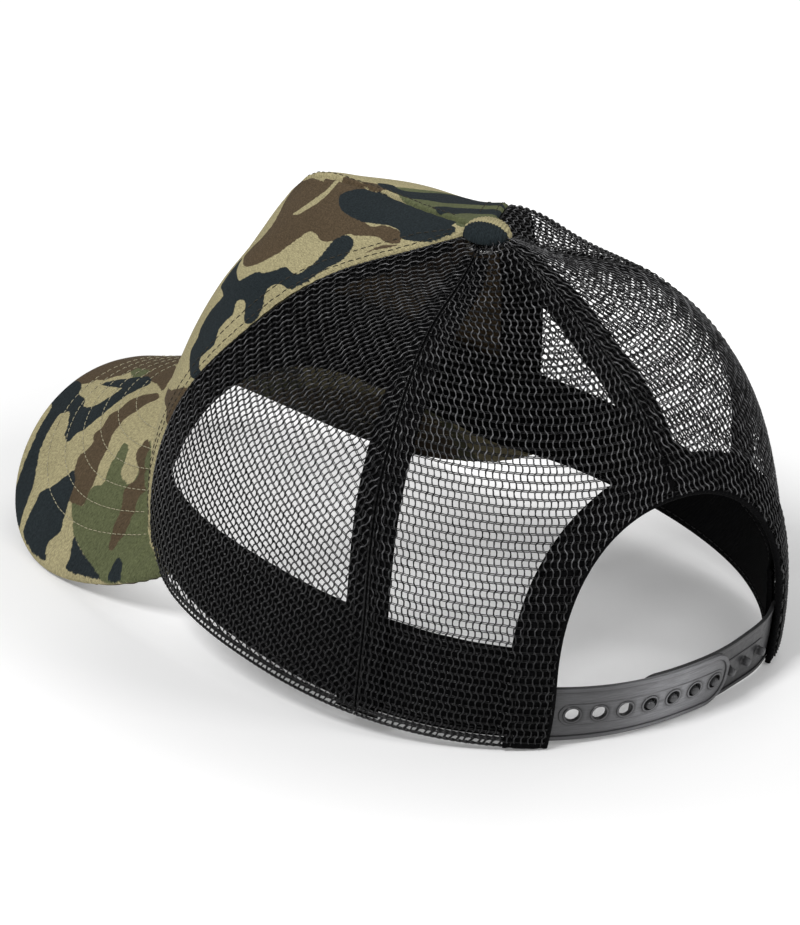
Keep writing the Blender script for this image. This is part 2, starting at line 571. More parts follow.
# Hand-drawn camouflage patches: front as (across, up) and visor as (x, y), in mm.
CAMO_SHAPES = {
    "front": {
        "brown1": [(41.8, 100.6), (38.5, 101.4), (33.1, 107.7), (24.8, 109.5), (11.9, 105.5), (6.4, 106.1), (4.1, 107.3), (6.1, 121.0), (1.9, 123.8), (-0.4, 126.9), (1.8, 136.3), (16.4, 147.9), (14.2, 154.6), (14.4, 160.3), (17.6, 161.4), (20.4, 160.3), (21.7, 156.7), (20.6, 153.0), (23.4, 145.9), (24.0, 142.9), (28.3, 139.5), (30.6, 136.2), (30.8, 133.4), (28.7, 131.3), (28.6, 128.6), (31.8, 126.1), (36.9, 122.0), (43.0, 116.1), (46.8, 109.1), (47.2, 104.4), (45.4, 101.8)],
        "tan1": [(-0.5, 122.7), (9.3, 123.8), (19.6, 119.8), (23.1, 117.7), (22.0, 121.3), (13.3, 125.7), (3.5, 124.7)],
        "black1": [(13.3, 134.4), (9.6, 130.8), (5.8, 130.9), (1.1, 134.5), (-1.2, 138.8), (0.5, 151.5), (3.1, 165.8), (5.3, 178.7), (12.6, 173.2), (16.7, 167.3), (17.6, 161.4), (14.4, 160.3), (13.6, 155.8), (16.0, 147.7), (16.1, 142.2), (15.2, 137.5)],
        "black2": [(39.2, 99.1), (45.1, 98.0), (50.6, 99.0), (51.9, 100.6), (50.6, 108.0), (51.6, 110.0), (50.2, 115.2), (47.9, 119.4), (50.5, 121.8), (49.4, 124.6), (42.0, 131.2), (33.8, 136.1), (29.3, 138.2), (24.9, 142.0), (24.7, 144.4), (28.0, 145.4), (36.1, 141.9), (40.3, 138.7), (44.9, 134.2), (53.0, 126.1), (56.8, 121.3), (59.1, 118.1), (56.9, 116.2), (56.9, 113.6), (58.6, 110.5), (62.1, 108.1), (67.4, 105.7), (71.1, 100.8), (71.3, 96.6), (64.0, 99.6), (61.2, 99.6), (60.3, 96.5), (64.7, 93.0), (65.6, 88.5), (67.5, 84.3), (72.4, 80.2), (72.2, 75.7), (72.6, 72.5), (78.7, 69.7), (79.8, 67.4), (76.0, 65.8), (69.6, 66.2), (62.9, 68.3), (60.9, 72.8), (57.4, 75.7), (54.6, 82.4), (53.3, 90.3), (46.8, 88.3), (44.3, 90.1)],
        "brown2": [(57.3, 47.4), (67.9, 53.4), (82.1, 64.6), (86.9, 62.3), (87.8, 57.3), (89.1, 49.1), (86.5, 44.6), (81.5, 44.7), (73.3, 48.4), (58.5, 45.0)],
        "brown3": [(21.4, 160.1), (24.7, 156.3), (27.5, 152.5), (31.0, 149.0), (28.3, 150.7), (23.7, 155.3)],
        "olive7": [(-5.2, 138.2), (-9.7, 136.2), (-17.8, 137.7), (-31.6, 133.6), (-38, 136), (-48, 142), (-50, 175), (-20, 182), (2.9, 182), (2.0, 174.6), (1.2, 169.8), (0.4, 161.0), (-0.6, 152.1), (-2.2, 145.5)],
        "black7": [(-5.7, 130.9), (-8.8, 133.6), (-7.9, 138.7), (-10.0, 141.2), (-15.1, 141.7), (-24.5, 137.7), (-31.0, 134.6), (-32.4, 141.7), (-31.5, 151.6), (-30.0, 154.3), (-25.9, 153.4), (-22.0, 153.4), (-17.5, 153.9), (-10.3, 154.8), (-7.7, 152.1), (-5.1, 150.2), (-3.0, 147.9), (-2.8, 142.6), (-3.2, 138.2)],
        "brown7": [(-0.8, 129.2), (-4.7, 130.9), (-5.2, 135.6), (-4.2, 139.7), (-1.1, 138.2), (-0.2, 134.1)],
        "black8": [(-2.6, 160.6), (-6.8, 159.7), (-10.3, 161.0), (-18.0, 159.3), (-24.7, 158.8), (-34, 157), (-36, 166), (-26.7, 166), (-21.4, 165.5), (-11.9, 168.0), (-3.4, 170.6), (-0.1, 168.9), (0.0, 165.9)],
        "black9": [(-1.2, 139.5), (-0.8, 145), (-0.6, 152), (0.4, 161), (1.2, 169.8), (2.4, 177), (7, 175), (10, 165), (9, 150), (7, 141), (3, 138.5)],
        "brown9": [(3.2, 120), (2.4, 127), (0.2, 134), (-1.1, 139), (3, 141), (8, 140), (9, 130), (8, 121)],
    },
    "visor": {
        "black1": [(16.4, -172.4), (18.9, -165.0), (23.1, -161.0), (25.5, -154.6), (28.8, -150.0), (27.7, -145.1), (23.1, -142.7), (15.9, -142.0), (13.0, -138.6), (19.1, -133.6), (24.6, -135.6), (30.7, -136.7), (35.5, -137.9), (38.8, -140.3), (41.3, -141.0), (39.2, -145.7), (31.8, -153.5), (31.0, -157.6), (33.3, -158.4), (38.0, -155.9), (43.5, -152.2), (49.4, -146.5), (53.6, -141.7), (57.5, -139.1), (61.7, -136.2), (64.6, -134.2), (62.6, -139.3), (59.6, -144.9), (56.2, -149.8), (53.8, -150.5), (48.7, -154.2), (42.6, -158.3), (35.8, -162.9), (30.0, -166.1), (27.8, -169.2), (27.9, -171.4), (23.8, -173.4), (20.3, -172.7)],
        "black2": [(55.8, -134.9), (53.8, -130.7), (51.6, -128.6), (49.7, -126.6), (53.5, -120.9), (57.4, -118.0), (61.8, -114.7), (64.9, -111.7), (67.4, -114.3), (70.0, -112.3), (71.6, -110.0), (70.0, -119.2), (66.6, -129.0), (64.0, -131.6), (60.3, -133.3), (56.9, -134.6)],
        "black3": [(65.9, -103.5), (68.0, -98.0), (71.1, -88.7), (73.8, -79.9), (74.5, -80.5), (73.3, -96.6), (70.7, -99.0)],
        "black4": [(69.9, -75.4), (70.9, -72.3), (73.3, -69.5), (74.5, -69.4), (74.6, -74.7), (72.8, -75.6), (70.7, -76.0)],
        "brown1": [(22.2, -120.9), (22.8, -126.1), (24.8, -130.1), (28.5, -131.1), (31.9, -132.5), (35.7, -130.9), (38.6, -131.1), (41.9, -127.9), (45.6, -129.2), (49.9, -125.8), (53.5, -122.1), (57.4, -118.0), (58.3, -113.3), (58.6, -109.5), (56.3, -110.6), (53.3, -111.4), (49.1, -115.0), (44.8, -117.6), (40.1, -120.6), (37.3, -122.5), (33.7, -123.4), (30.4, -121.8), (26.9, -120.6), (24.5, -117.8)],
        "brown2": [(39.7, -103.1), (42.2, -98.0), (46.2, -95.1), (53.4, -85.3), (56.0, -84.6), (62.5, -80.7), (66.3, -80.4), (68.6, -80.5), (67.6, -83.6), (64.2, -86.6), (57.9, -90.4), (54.6, -94.1), (52.8, -94.0), (51.4, -92.6), (49.1, -94.2), (44.9, -101.4), (42.4, -103.2)],
        "brown3": [(11.1, -172.1), (7.1, -173.0), (4.5, -167.6), (4.3, -159.1), (4.2, -153.2), (10.0, -151.6), (14.1, -154.8), (16.1, -159.1), (14.4, -165.8)],
        "brown4": [(12.8, -141.9), (7.0, -141.8), (3.8, -137.5), (10.7, -128.1), (20.6, -120.6), (18.9, -124.9), (17.3, -128.3), (15.3, -136.0)],
        "olive1": [(58.6, -109.5), (56.3, -110.6), (53.6, -110.5), (53.1, -107.0), (47.6, -110.3), (43.1, -112.2), (41.1, -112.5), (42.2, -109.0), (45.0, -105.9), (48.8, -103.1), (50.7, -100.7), (52.7, -93.8), (50.0, -93.6), (48.2, -95.5), (45.3, -96.8), (39.6, -101.5), (48.0, -89.3), (54.2, -80.2), (58.3, -76.2), (65.2, -67.2), (68.7, -59.2), (74.0, -48.7), (74.5, -56.1), (74.7, -68.8), (74.5, -79.0), (68.0, -98.0), (65.7, -103.8), (61.3, -111.2), (57.9, -115.6)],
        "olive2": [(4.3, -159.1), (0.5, -155.5), (0.5, -142.6), (6.3, -142.7), (11.6, -142.6), (14.6, -142.9), (11.2, -150.0)],
    },
}


# ------------------------------------------------------------------ camouflage
def rounded(poly, n=4):
    """Closed Catmull-Rom curve through a hand-drawn outline."""
    P = np.array(poly, float)
    a, b, c, d = np.roll(P, 1, 0), P, np.roll(P, -1, 0), np.roll(P, -2, 0)
    t = (np.arange(n) / n)[None, :, None]
    a, b, c, d = (q[:, None] for q in (a, b, c, d))
    out = 0.5 * (2 * b + (c - a) * t + (2 * a - 5 * b + 4 * c - d) * t**2 + (3 * b - a - 3 * c + d) * t**3)
    return out.reshape(-1, 2)


def signed_distance(P, poly):
    """Negative inside. P is (n, 2)."""
    A = poly; B = np.roll(poly, -1, 0)
    lo, hi = poly.min(0) - 12, poly.max(0) + 12
    out = np.full(len(P), 12.0)
    near = np.all((P > lo) & (P < hi), axis=1)
    Q = P[near]
    best = np.full(len(Q), 1e9); inside = np.zeros(len(Q), bool)
    for a, b in zip(A, B):
        ab = b - a
        t = np.clip(((Q - a) @ ab) / (ab @ ab + 1e-12), 0, 1)
        best = np.minimum(best, np.linalg.norm(Q - a - t[:, None] * ab, axis=1))
        cond = (a[1] > Q[:, 1]) != (b[1] > Q[:, 1])
        xi = a[0] + (Q[:, 1] - a[1]) / (b[1] - a[1] + 1e-12) * ab[0]
        inside ^= cond & (Q[:, 0] < xi)
    out[near] = np.where(inside, -best, best)
    return out


def camo_fields(UV, shapes, keep_off, seed):
    """Distances to each colour's patches: the drawn shapes, and soft random ones where keep_off is 0."""
    out = {k: np.full(len(UV), 12.0) for k in ("olive", "brown", "black", "tan")}
    for name, poly in shapes.items():
        k = name.rstrip("0123456789")
        out[k] = np.minimum(out[k], signed_distance(UV, rounded(poly)))
    q = np.concatenate([UV, np.full((len(UV), 1), 37.0 * seed)], 1)
    for k, sc, thr, z in (("olive", 34.0, 0.43, 0.0), ("brown", 24.0, 0.40, 90.0), ("black", 21.0, 0.385, 190.0)):
        p = q * np.array([1.0, 0.72, 1.0]) + np.array([0, 0, z])
        f = 0.75 * vnoise(p, sc) + 0.25 * vnoise(p * 1.0 + 11, sc * 0.42)
        out[k] = np.minimum(out[k], (f - thr) * sc * 1.25 + 40 * keep_off)
    return {"sd_" + k: v for k, v in out.items()}


# ------------------------------------------------------------------ front panel
APEX0 = np.array([0.0, AY])


def arc_tables(thc, th_a, th_b, nth=161, psi_a=-9.0, psi_b=89.0, npsi=197):
    """Lateral arc length U at each (th, psi), from thc, and meridian length V at thc."""
    th = np.linspace(th_a, th_b, nth); psi = np.linspace(psi_a, psi_b, npsi)
    P = crown(th[:, None], psi[None, :])
    seg = np.linalg.norm(np.diff(P, axis=0), axis=-1)
    U = np.concatenate([np.zeros((1, npsi)), np.cumsum(seg, 0)])
    f = (thc - th_a) / (th_b - th_a) * (nth - 1)
    i = int(min(max(math.floor(f), 0), nth - 2)); f -= i
    U = U - ((1 - f) * U[i] + f * U[i + 1])
    C = crown(thc, psi)
    V = np.concatenate([[0], np.cumsum(np.linalg.norm(np.diff(C, axis=0), axis=1))])
    V = V - np.interp(0.0, psi, V)
    return th, psi, U, V


def table_u(tab, th, psi):
    T, S, U, V = tab
    a = np.clip((th - T[0]) / (T[-1] - T[0]) * (len(T) - 1), 0, len(T) - 1.001)
    b = np.clip((psi - S[0]) / (S[-1] - S[0]) * (len(S) - 1), 0, len(S) - 1.001)
    i, j = a.astype(int), b.astype(int); f, g = a - i, b - j
    u = (1 - f) * ((1 - g) * U[i, j] + g * U[i, j + 1]) + f * ((1 - g) * U[i + 1, j] + g * U[i + 1, j + 1])
    du = ((1 - g) * (U[i + 1, j] - U[i, j]) + g * (U[i + 1, j + 1] - U[i, j + 1])) / (T[1] - T[0])
    return u, du


def from_uv(tab, U, V, thc):
    psi = np.interp(V, tab[3], tab[1])
    th = np.full(U.shape, float(thc))
    for _ in range(6):
        u, du = table_u(tab, th, psi)
        th = th + np.clip((U - u) / np.maximum(du, 0.05), -20, 20)
        th = np.clip(th, tab[0][0] - 2, tab[0][-1] + 2)
    return th, psi


LOOK_BACK = np.array([math.sin(math.radians(138.773)) * math.cos(math.radians(27.06)),
                      -math.cos(math.radians(138.773)) * math.cos(math.radians(27.06)), math.sin(math.radians(27.06))])

FRONT_TAB = arc_tables(0.0, -60, 60)


def front_grid(nu, nv, inset):
    s = np.linspace(0, 1, nu)[:, None]; v = np.linspace(0, 1, nv)[None, :]
    q = 2 * s - 1
    th0 = q * sf(0.0, q)
    for _ in range(3):
        lo = psi_at(th0, rim_height(th0, 1.62))
        th0 = q * sf(lo, q)
    psi = lo + (87.6 - lo) * v
    p = crown(q * SF, psi)
    r = np.hypot(p[..., 0], p[..., 1] - AY)
    e = np.degrees(inset / np.maximum(r, 1.0))
    th = q * (sf(psi, q) - e)
    return th, psi


DART_V, DART_U = [100, 115.5, 127, 134, 141, 152, 161, 170, 180], [4.6, 3.8, 2.2, 0.2, -1.0, -0.6, 0.4, 1.0, 1.6]


def front_depth(th, psi):
    """Relief of the front cloth: rolled seams, the dart and soft waves, as depth in mm."""
    p = crown(th, psi)
    r = np.hypot(p[..., 0], p[..., 1] - AY)
    seam = np.radians(sf(psi, th) - np.abs(th)) * r * 1.0
    along = np.interp(psi, FRONT_TAB[1], FRONT_TAB[3])
    side = np.radians(th) * r - np.interp(along, DART_V, DART_U)
    dart = np.abs(side)
    d = 0.75 * np.exp(-(seam / 0.75) ** 2) - 0.28 * np.exp(-((seam - 2.6) / 2.0) ** 2)
    d += 0.10 * np.sin(along * 2 * np.pi / 6.3 + 3 * vnoise(p, 16)) * np.exp(-seam / 5.0)
    on = smooth(96, 101, p[..., 2])
    d += on * (1.0 * np.exp(-(dart / 0.55) ** 2) - 0.2 * np.exp(-((dart - 2.2) / 1.6) ** 2) - 0.35 * np.exp(-((side + 1.5) / 1.1) ** 2))
    d += on * 0.10 * np.sin(along * 2 * np.pi / 5.2) * np.exp(-dart / 4.5)
    d += 0.9 * (vnoise(p + 5, 26) - 0.5) + 0.3 * (vnoise(p, 9) - 0.5)
    return d


def front_low_roll(th, psi):
    z0 = rim_height(th, 1.62)
    p = crown(th, psi)
    e = p[..., 2] - z0
    return 0.8 * np.exp(-(e / 0.8) ** 2) - 0.3 * np.exp(-((e - 3.0) / 2.2) ** 2) + 0.12 * np.sin(p[..., 0] * 0.9) * np.exp(-e / 6)


th, psi = front_grid(261, 211, 0.15)
dep = front_depth(th, psi) + front_low_roll(th, psi)
outer, nrm = crown_at(th, psi, dep)
inner, _ = crown_at(th, psi, dep + 0.62)
U, _ = table_u(FRONT_TAB, th, psi)
V = np.interp(psi, FRONT_TAB[1], FRONT_TAB[3])
facing = nrm @ LOOK_BACK
keep = smooth(-0.06, 0.03, facing)
UV = np.stack([U.ravel(), V.ravel()], -1)
flds = camo_fields(UV, CAMO_SHAPES["front"], keep.ravel(), 1)
flds = {k: np.concatenate([v, v]) for k, v in flds.items()}
half = len(UV)
for k_, v_ in flds.items():  # the inside shows the plain back of the cloth
    v_[half:] = -6.0 if k_ == "sd_brown" else 9.0
pat = np.concatenate([UV, UV]); pat = np.concatenate([pat, np.zeros((len(pat), 1))], 1)
Vv, Qq = shell(outer, inner)
B = Builder().add(Vv, Qq, pat=pat, **flds)
B.build("front_cloth", CAMO, "crown", "front_cloth", ["front_panel"])


# ------------------------------------------------------------------ netting
CELL, ROW = 1.95, 2.4


def netting(name, node, th_a, th_b, thc, angle, th_phase=0.0, depth=0.42):
    tab = arc_tables(thc, min(th_a, th_b) - 9.0, max(th_a, th_b) + 9.0, 141)
    ca, sa = math.cos(math.radians(angle)), math.sin(math.radians(angle))
    B = Builder()
    lo_a, hi_a = min(th_a, th_b), max(th_a, th_b)

    def place(x, y, h):
        """Pattern (x along the rows, y along the wales) and height to design mm, with a mask."""
        X, Y = x * ca - (y - 70) * sa, x * sa + (y - 70) * ca + 70
        ok = (Y > tab[3][0]) & (Y < tab[3][-1] - 0.4)
        th, psi = from_uv(tab, X, Y, thc)
        P = crown(th, psi)
        r = np.hypot(P[..., 0], P[..., 1] - AY)
        la = np.where(abs(lo_a - SF) < 0.1, sf(psi), lo_a); hb = np.where(abs(hi_a + SF) < 0.1, -sf(psi, -1), hi_a)
        sa_, sb_ = np.radians(th - la) * r, np.radians(hb - th) * r
        floor = np.maximum(rim_height(th, 2.4), 2.3)
        ok &= (sa_ > 0.55) & (sb_ > 0.55) & (P[..., 2] > floor) & (psi < 86.5)
        rear = P[..., 1] > 20
        ad = np.where(rear, arch_dist(P[..., 0], P[..., 2]), 60.0)
        ok &= ad > 0.35
        n = crown_n(th, psi)
        wav = 0.5 * (vnoise(P, 24) - 0.5)
        seam = np.minimum(sa_, sb_)
        dp = depth + wav + 0.35 * np.exp(-(seam / 1.3) ** 2) - 0.18 * np.exp(-((seam - 3.2) / 2.0) ** 2)
        over = smooth(12.5, 9.6, ad)
        dp = dp * (1 - over) + (-0.98 + 0.9 * smooth(1.2, 0.0, ad)) * over
        return P - n * (dp - h)[..., None], ok

    # reach of the panel in pattern coordinates
    T, S = np.meshgrid(np.linspace(lo_a - 8, hi_a + 8, 49), np.linspace(-8, 87, 61), indexing="ij")
    u, _ = table_u(tab, T, S); v = np.interp(S, tab[1], tab[3])
    zz = crown(T, S)[..., 2]
    m = zz > -1
    u, v = u[m], v[m]
    xs = u * ca + (v - 70) * sa; ys = -u * sa + (v - 70) * ca + 70
    x0, x1, y0, y1 = xs.min() - 2, xs.max() + 2, ys.min() - 2, ys.max() + 2
    sides = 5
    ph = np.arange(sides) * 2 * np.pi / sides + 0.45

    def emit(cx, cy, ch, hw, ht, dirs, nrun, nring, sd, light=None):
        """Rings for nrun tubes; dirs is the sideways unit vector in the pattern."""
        phh = np.arange(sd) * 2 * np.pi / sd + 0.45
        X = cx[..., None] + dirs[..., 0:1] * hw[..., None] * np.cos(phh)
        Y = cy[..., None] + dirs[..., 1:2] * hw[..., None] * np.cos(phh)
        H = ch[..., None] + ht[..., None] * np.sin(phh)
        _, ok = place(cx, cy, ch)
        keep_ring = ok
        P, _ = place(X.ravel(), Y.ravel(), H.ravel())
        P = P.reshape(-1, 3)
        idx = np.arange(nrun * nring * sd).reshape(nrun, nring, sd)
        good = keep_ring[:, :-1] & keep_ring[:, 1:]
        a = idx[:, :-1][good]; b = idx[:, 1:][good]
        Q = np.stack([a, b, np.roll(b, -1, 1), np.roll(a, -1, 1)], -1).reshape(-1, 4)
        caps = []
        # close every run where it starts or stops
        kr = keep_ring
        prev = np.zeros_like(kr); prev[:, 1:] = kr[:, :-1]
        nxt = np.zeros_like(kr); nxt[:, :-1] = kr[:, 1:]
        for ends, rev in ((kr & ~prev & nxt, True), (kr & prev & ~nxt, False)):
            e = idx[ends]
            for j in range(1, sd - 1):
                t = np.stack([e[:, 0], e[:, j], e[:, j + 1]], -1)
                caps.append(t[:, ::-1] if rev else t)
        caps = np.concatenate(caps)
        used = np.unique(np.concatenate([Q.ravel(), caps.ravel()]))
        new = np.full(len(P), -1); new[used] = np.arange(len(used))
        crest = np.zeros((nrun, nring, sd))
        if light is not None:
            crest[..., 1] = light
        B.add(P[used], new[Q], new[caps], crest=crest.reshape(-1)[used])

    # wales: chains of loops that lean to alternate sides row by row
    ks = np.arange(math.floor(x0 / CELL), math.ceil(x1 / CELL) + 1)
    step = ROW / 6
    yy = np.arange(y0, y1, step)
    K, Y = np.meshgrid(ks, yy, indexing="ij")
    lean = np.sin(np.pi * Y / ROW)
    lean = np.clip(1.5 * lean, -1, 1)
    cx = K * CELL + 0.36 * lean
    knot = np.cos(2 * np.pi * Y / ROW) * 0.5 + 0.5
    jit = 0.035 * np.sin(K * 12.9898 + Y * 2.3) + 0.02 * np.sin(K * 5.1 - Y * 5.7)
    hw = 0.215 + 0.09 * knot + jit * 0.8
    ht = 0.22 + 0.10 * knot
    ch = 0.10 + 0.05 * knot
    dirs = np.zeros(K.shape + (2,)); dirs[..., 0] = 1
    emit(cx + jit, Y, ch, hw, ht, dirs, len(ks), len(yy), sides, 0.45 + 0.55 * np.abs(np.cos(np.pi * Y / ROW)))
    # bars: two thin strands between neighbouring wales at every row
    js = np.arange(math.floor(y0 / ROW), math.ceil(y1 / ROW) + 1)
    K2, J2, S2 = np.meshgrid(ks, js, np.array([-1, 1]), indexing="ij")
    K2, J2, S2 = K2.ravel(), J2.ravel(), S2.ravel()
    t = np.array([0.06, 0.36, 0.64, 0.94])
    bx = (K2[:, None] + t[None, :]) * CELL
    by = J2[:, None] * ROW + S2[:, None] * (0.19 + 0.03 * np.sin(np.pi * t)[None, :]) + 0.05 * np.sin(K2 * 7.7 + J2 * 3.1)[:, None]
    bw = np.full(bx.shape, 0.17); bh = np.full(bx.shape, 0.12)
    dd = np.zeros(bx.shape + (2,)); dd[..., 1] = 1
    emit(bx, by, np.zeros(bx.shape) - 0.12, bw, bh, dd, len(K2), 4, 4)
    return B.build(name, YARN, "crown", "mesh", [node])


netting("left_side_netting", "left_side_mesh_panel", SF, SS, (SF + SS) / 2, SIDE_ANGLE)
netting("right_side_netting", "right_side_mesh_panel", -SF, -SS, -(SF + SS) / 2, -SIDE_ANGLE)
netting("left_rear_netting", "left_rear_mesh_panel", SS, 180, (SS + 180) / 2, 0.0)
netting("right_rear_netting", "right_rear_mesh_panel", 180, 360 - SS, 180 + (180 - SS) / 2, 0.0)


# knobbly edge cords along the seams and the hem
def meridian(thc, off, d, z_low, psi_top, step=0.45):
    """Path beside a seam: off in mm to the +th side, from a height up to psi_top."""
    psi = np.linspace(float(psi_at(np.array(thc), np.array(z_low))), psi_top, 400)
    p = crown(thc, psi)
    r = np.hypot(p[:, 0], p[:, 1] - AY)
    lim = np.minimum(abs(off), 0.42 * r * math.radians(60))
    base = np.sign(thc) * sf(psi, thc) if abs(abs(thc) - SF) < 0.1 else thc
    th = base + np.degrees(np.sign(off) * lim / np.maximum(r, 0.8))
    P, n = crown_at(th, psi, np.full(len(psi), float(d)))
    PP, s = resample(np.concatenate([P, n], 1), step)
    return PP[:, :3], PP[:, 3:] / np.linalg.norm(PP[:, 3:], axis=1, keepdims=True)


def hem_path(th_a, th_b, lift, zmin, d, step=0.45):
    th = np.linspace(th_a, th_b, 500)
    z = np.maximum(rim_height(th, lift), zmin)
    psi = psi_at(th, z)
    P, n = crown_at(th, psi, np.full(len(th), float(d)))
    PP, s = resample(np.concatenate([P, n], 1), step)
    return PP[:, :3], PP[:, 3:] / np.linalg.norm(PP[:, 3:], axis=1, keepdims=True)


def knob(P, r, pitch=2.0, amp=0.2):
    s = np.concatenate([[0], np.cumsum(np.linalg.norm(np.diff(P, axis=0), axis=1))])
    return r * (1 + amp * np.sin(2 * np.pi * s / pitch) + 0.07 * np.sin(s * 7.3))


B = Builder()
polys = []
z_seam = float(rim_height(np.array(SF), 2.6)) + 0.4
for sgn in (-1, 1):
    P, n = meridian(sgn * SF, sgn * 0.75, 0.35, z_seam, 85.5)
    polys.append((P, n, knob(P, 0.36), knob(P, 0.34)))
    for o in (-0.6, 0.6):
        P, n = meridian(sgn * SS, o, 0.6, 1.0, 85.5)
        polys.append((P, n, knob(P, 0.36, 2.4, 0.3), knob(P, 0.34, 2.4, 0.3)))
for o in (-0.6, 0.6):
    P, n = meridian(180, o, 0.6, ARCH_S + ARCH_B + 9.5, 85.5)
    polys.append((P, n, knob(P, 0.36, 2.4, 0.3), knob(P, 0.34, 2.4, 0.3)))
tubes(B, polys, 6)
B.build("seam_edge_cords", YARN, "crown", "mesh")

B = Builder()
polys = []
for a, b in ((SF + 0.5, SS - 0.4), (SS + 0.4, 151.8)):
    for sgn in (-1, 1):
        for zl, d, r in ((0.55, 0.35, 0.42), (2.35, 0.4, 0.4), (3.0, 0.45, 0.36)):
            P, n = hem_path(sgn * a, sgn * b, zl + 1.2, zl, d)
            polys.append((P, n, knob(P, r, 1.95, 0.22), knob(P, r * 0.9, 1.95, 0.22)))
        A0, n0 = hem_path(sgn * a, sgn * b, 0.55 + 1.2, 0.55, 0.35, 1.95)
        B0, n1 = hem_path(sgn * a, sgn * b, 2.35 + 1.2, 2.35, 0.4, 1.95)
        m = min(len(A0), len(B0))
        ia = np.linspace(0, len(A0) - 1, m).round().astype(int); ib = np.linspace(0, len(B0) - 1, m).round().astype(int)
        along = np.gradient(A0[ia], axis=0); along /= np.linalg.norm(along, axis=1, keepdims=True)
        for k_, (p0, p1, q, al) in enumerate(zip(A0[ia], B0[ib], n0[ia], along)):
            if np.linalg.norm(p1 - p0) > 0.5:
                w1, w2 = 0.32 * math.sin(k_ * 2.39) - 0.55, 0.30 * math.sin(k_ * 1.71 + 1) + 0.55
                w1, w2 = w1 * sgn, w2 * sgn
                r_ = 1 + 0.22 * math.sin(k_ * 3.3)
                polys.append((np.stack([p0 + (p1 - p0) * t + al * (w1 + (w2 - w1) * t) for t in (-0.12, 0.33, 0.66, 1.0)]), np.repeat(q[None], 4, 0), np.array([0.40, 0.31, 0.31, 0.40]) * r_, 0.26))
tubes(B, polys, 6)
B.build("hem_edging", YARN, "crown", "mesh")


# ------------------------------------------------------------------ tapes, buckram
def tape_sheet(thc, z_low, psi_top, d0, d1, nv=160, nu=13, half=7.0):
    s = np.linspace(-1, 1, nu)[:, None]; v = np.linspace(0, 1, nv)[None, :]
    lo = float(psi_at(np.array(thc), np.array(float(z_low))))
    psi = lo + (psi_top - lo) * v + 0 * s
    p = crown(thc, psi); r = np.hypot(p[..., 0], p[..., 1] - AY)
    h = 1 / (1 / half**6 + 1 / (0.36 * r) ** 6) ** (1 / 6)
    base = np.sign(thc) * sf(psi, thc) if abs(abs(thc) - SF) < 0.1 else thc
    th = base + np.degrees(h / r) * s
    e = np.abs(s) * h
    edge = smooth(0.7, 0, h - e)
    wave = 0.12 * (vnoise(p, 12) - 0.5)
    mid = (d0 + d1) / 2
    o, _ = crown_at(th, psi, d0 + (mid - d0) * edge * 0.8 + wave)
    i, _ = crown_at(th, psi, d1 + (mid - d1) * edge * 0.8 + wave)
    V_ = np.interp(psi, FRONT_TAB[1], FRONT_TAB[3])
    pt = np.stack([s * h, V_, 0 * V_], -1).reshape(-1, 3)
    return o, i, np.concatenate([pt, pt])


TAPES = [("front_dart_tape_cloth", "front_dart_tape", 0.0, 96.0, 7.0), ("left_front_tape_cloth", "left_front_seam_tape", SF, z_seam + 0.6, 7.0),
         ("right_front_tape_cloth", "right_front_seam_tape", -SF, z_seam + 0.6, 7.0), ("left_side_tape_cloth", "left_side_seam_tape", SS, 0.9, 7.0),
         ("right_side_tape_cloth", "right_side_seam_tape", -SS, 0.9, 7.0), ("centre_back_tape_cloth", "centre_back_seam_tape", 180.0, 77.0, 7.0)]
for nm, node, thc, zl, hf in TAPES:
    o, i, pt = tape_sheet(thc, zl, 83.0, 0.9, 1.5, half=hf)
    Vv, Qq = shell(o, i)
    B = Builder().add(Vv, Qq, pat=pt)
    polys = []
    B.build(nm, TAPE, "crown", "tape", [node])

B = Builder()
for side in (-1, 1):
    a, b = (11.5, SF - 13.0) if side > 0 else (-SF + 13.0, -11.5)
    th = (a + (b - a) * np.linspace(0, 1, 90))[:, None] + np.zeros((1, 110))
    lo = psi_at(th[:, :1], rim_height(th[:, :1], 2.35) + 39.0)
    psi = lo + (66 - lo) * np.linspace(0, 1, 110)[None, :]
    w = 0.1 * (vnoise(crown(th, psi), 10) - 0.5)
    o, _ = crown_at(th, psi, 0.95 + w); i, _ = crown_at(th, psi, 1.45 + w)
    u, _ = table_u(FRONT_TAB, th, psi)
    pt = np.stack([u, np.interp(psi, FRONT_TAB[1], FRONT_TAB[3]), 0 * u], -1).reshape(-1, 3)
    Vv, Qq = shell(o, i)
    B.add(Vv, Qq, pat=np.concatenate([pt, pt]))
B.build("front_buckram_cloth", BUCK, "crown", "buckram", ["front_panel_buckram"])


# ------------------------------------------------------------------ sweatband
def band(dfun, z_a, z_b, end, nth=520, nv=44):
    th = np.linspace(-end, end, nth)[:, None] + np.zeros((1, nv))
    v = np.linspace(0, 1, nv)[None, :]
    base = rim_height(th[:, :1], -1.4) - 0.7
    lo = psi_at(th[:, :1], np.maximum(base + z_a, 0.6), 3.0)
    hi = psi_at(th[:, :1], base + z_b, 3.0)
    psi = lo + (hi - lo) * v
    p = crown(th, psi)
    return th, psi, v + 0 * th, p


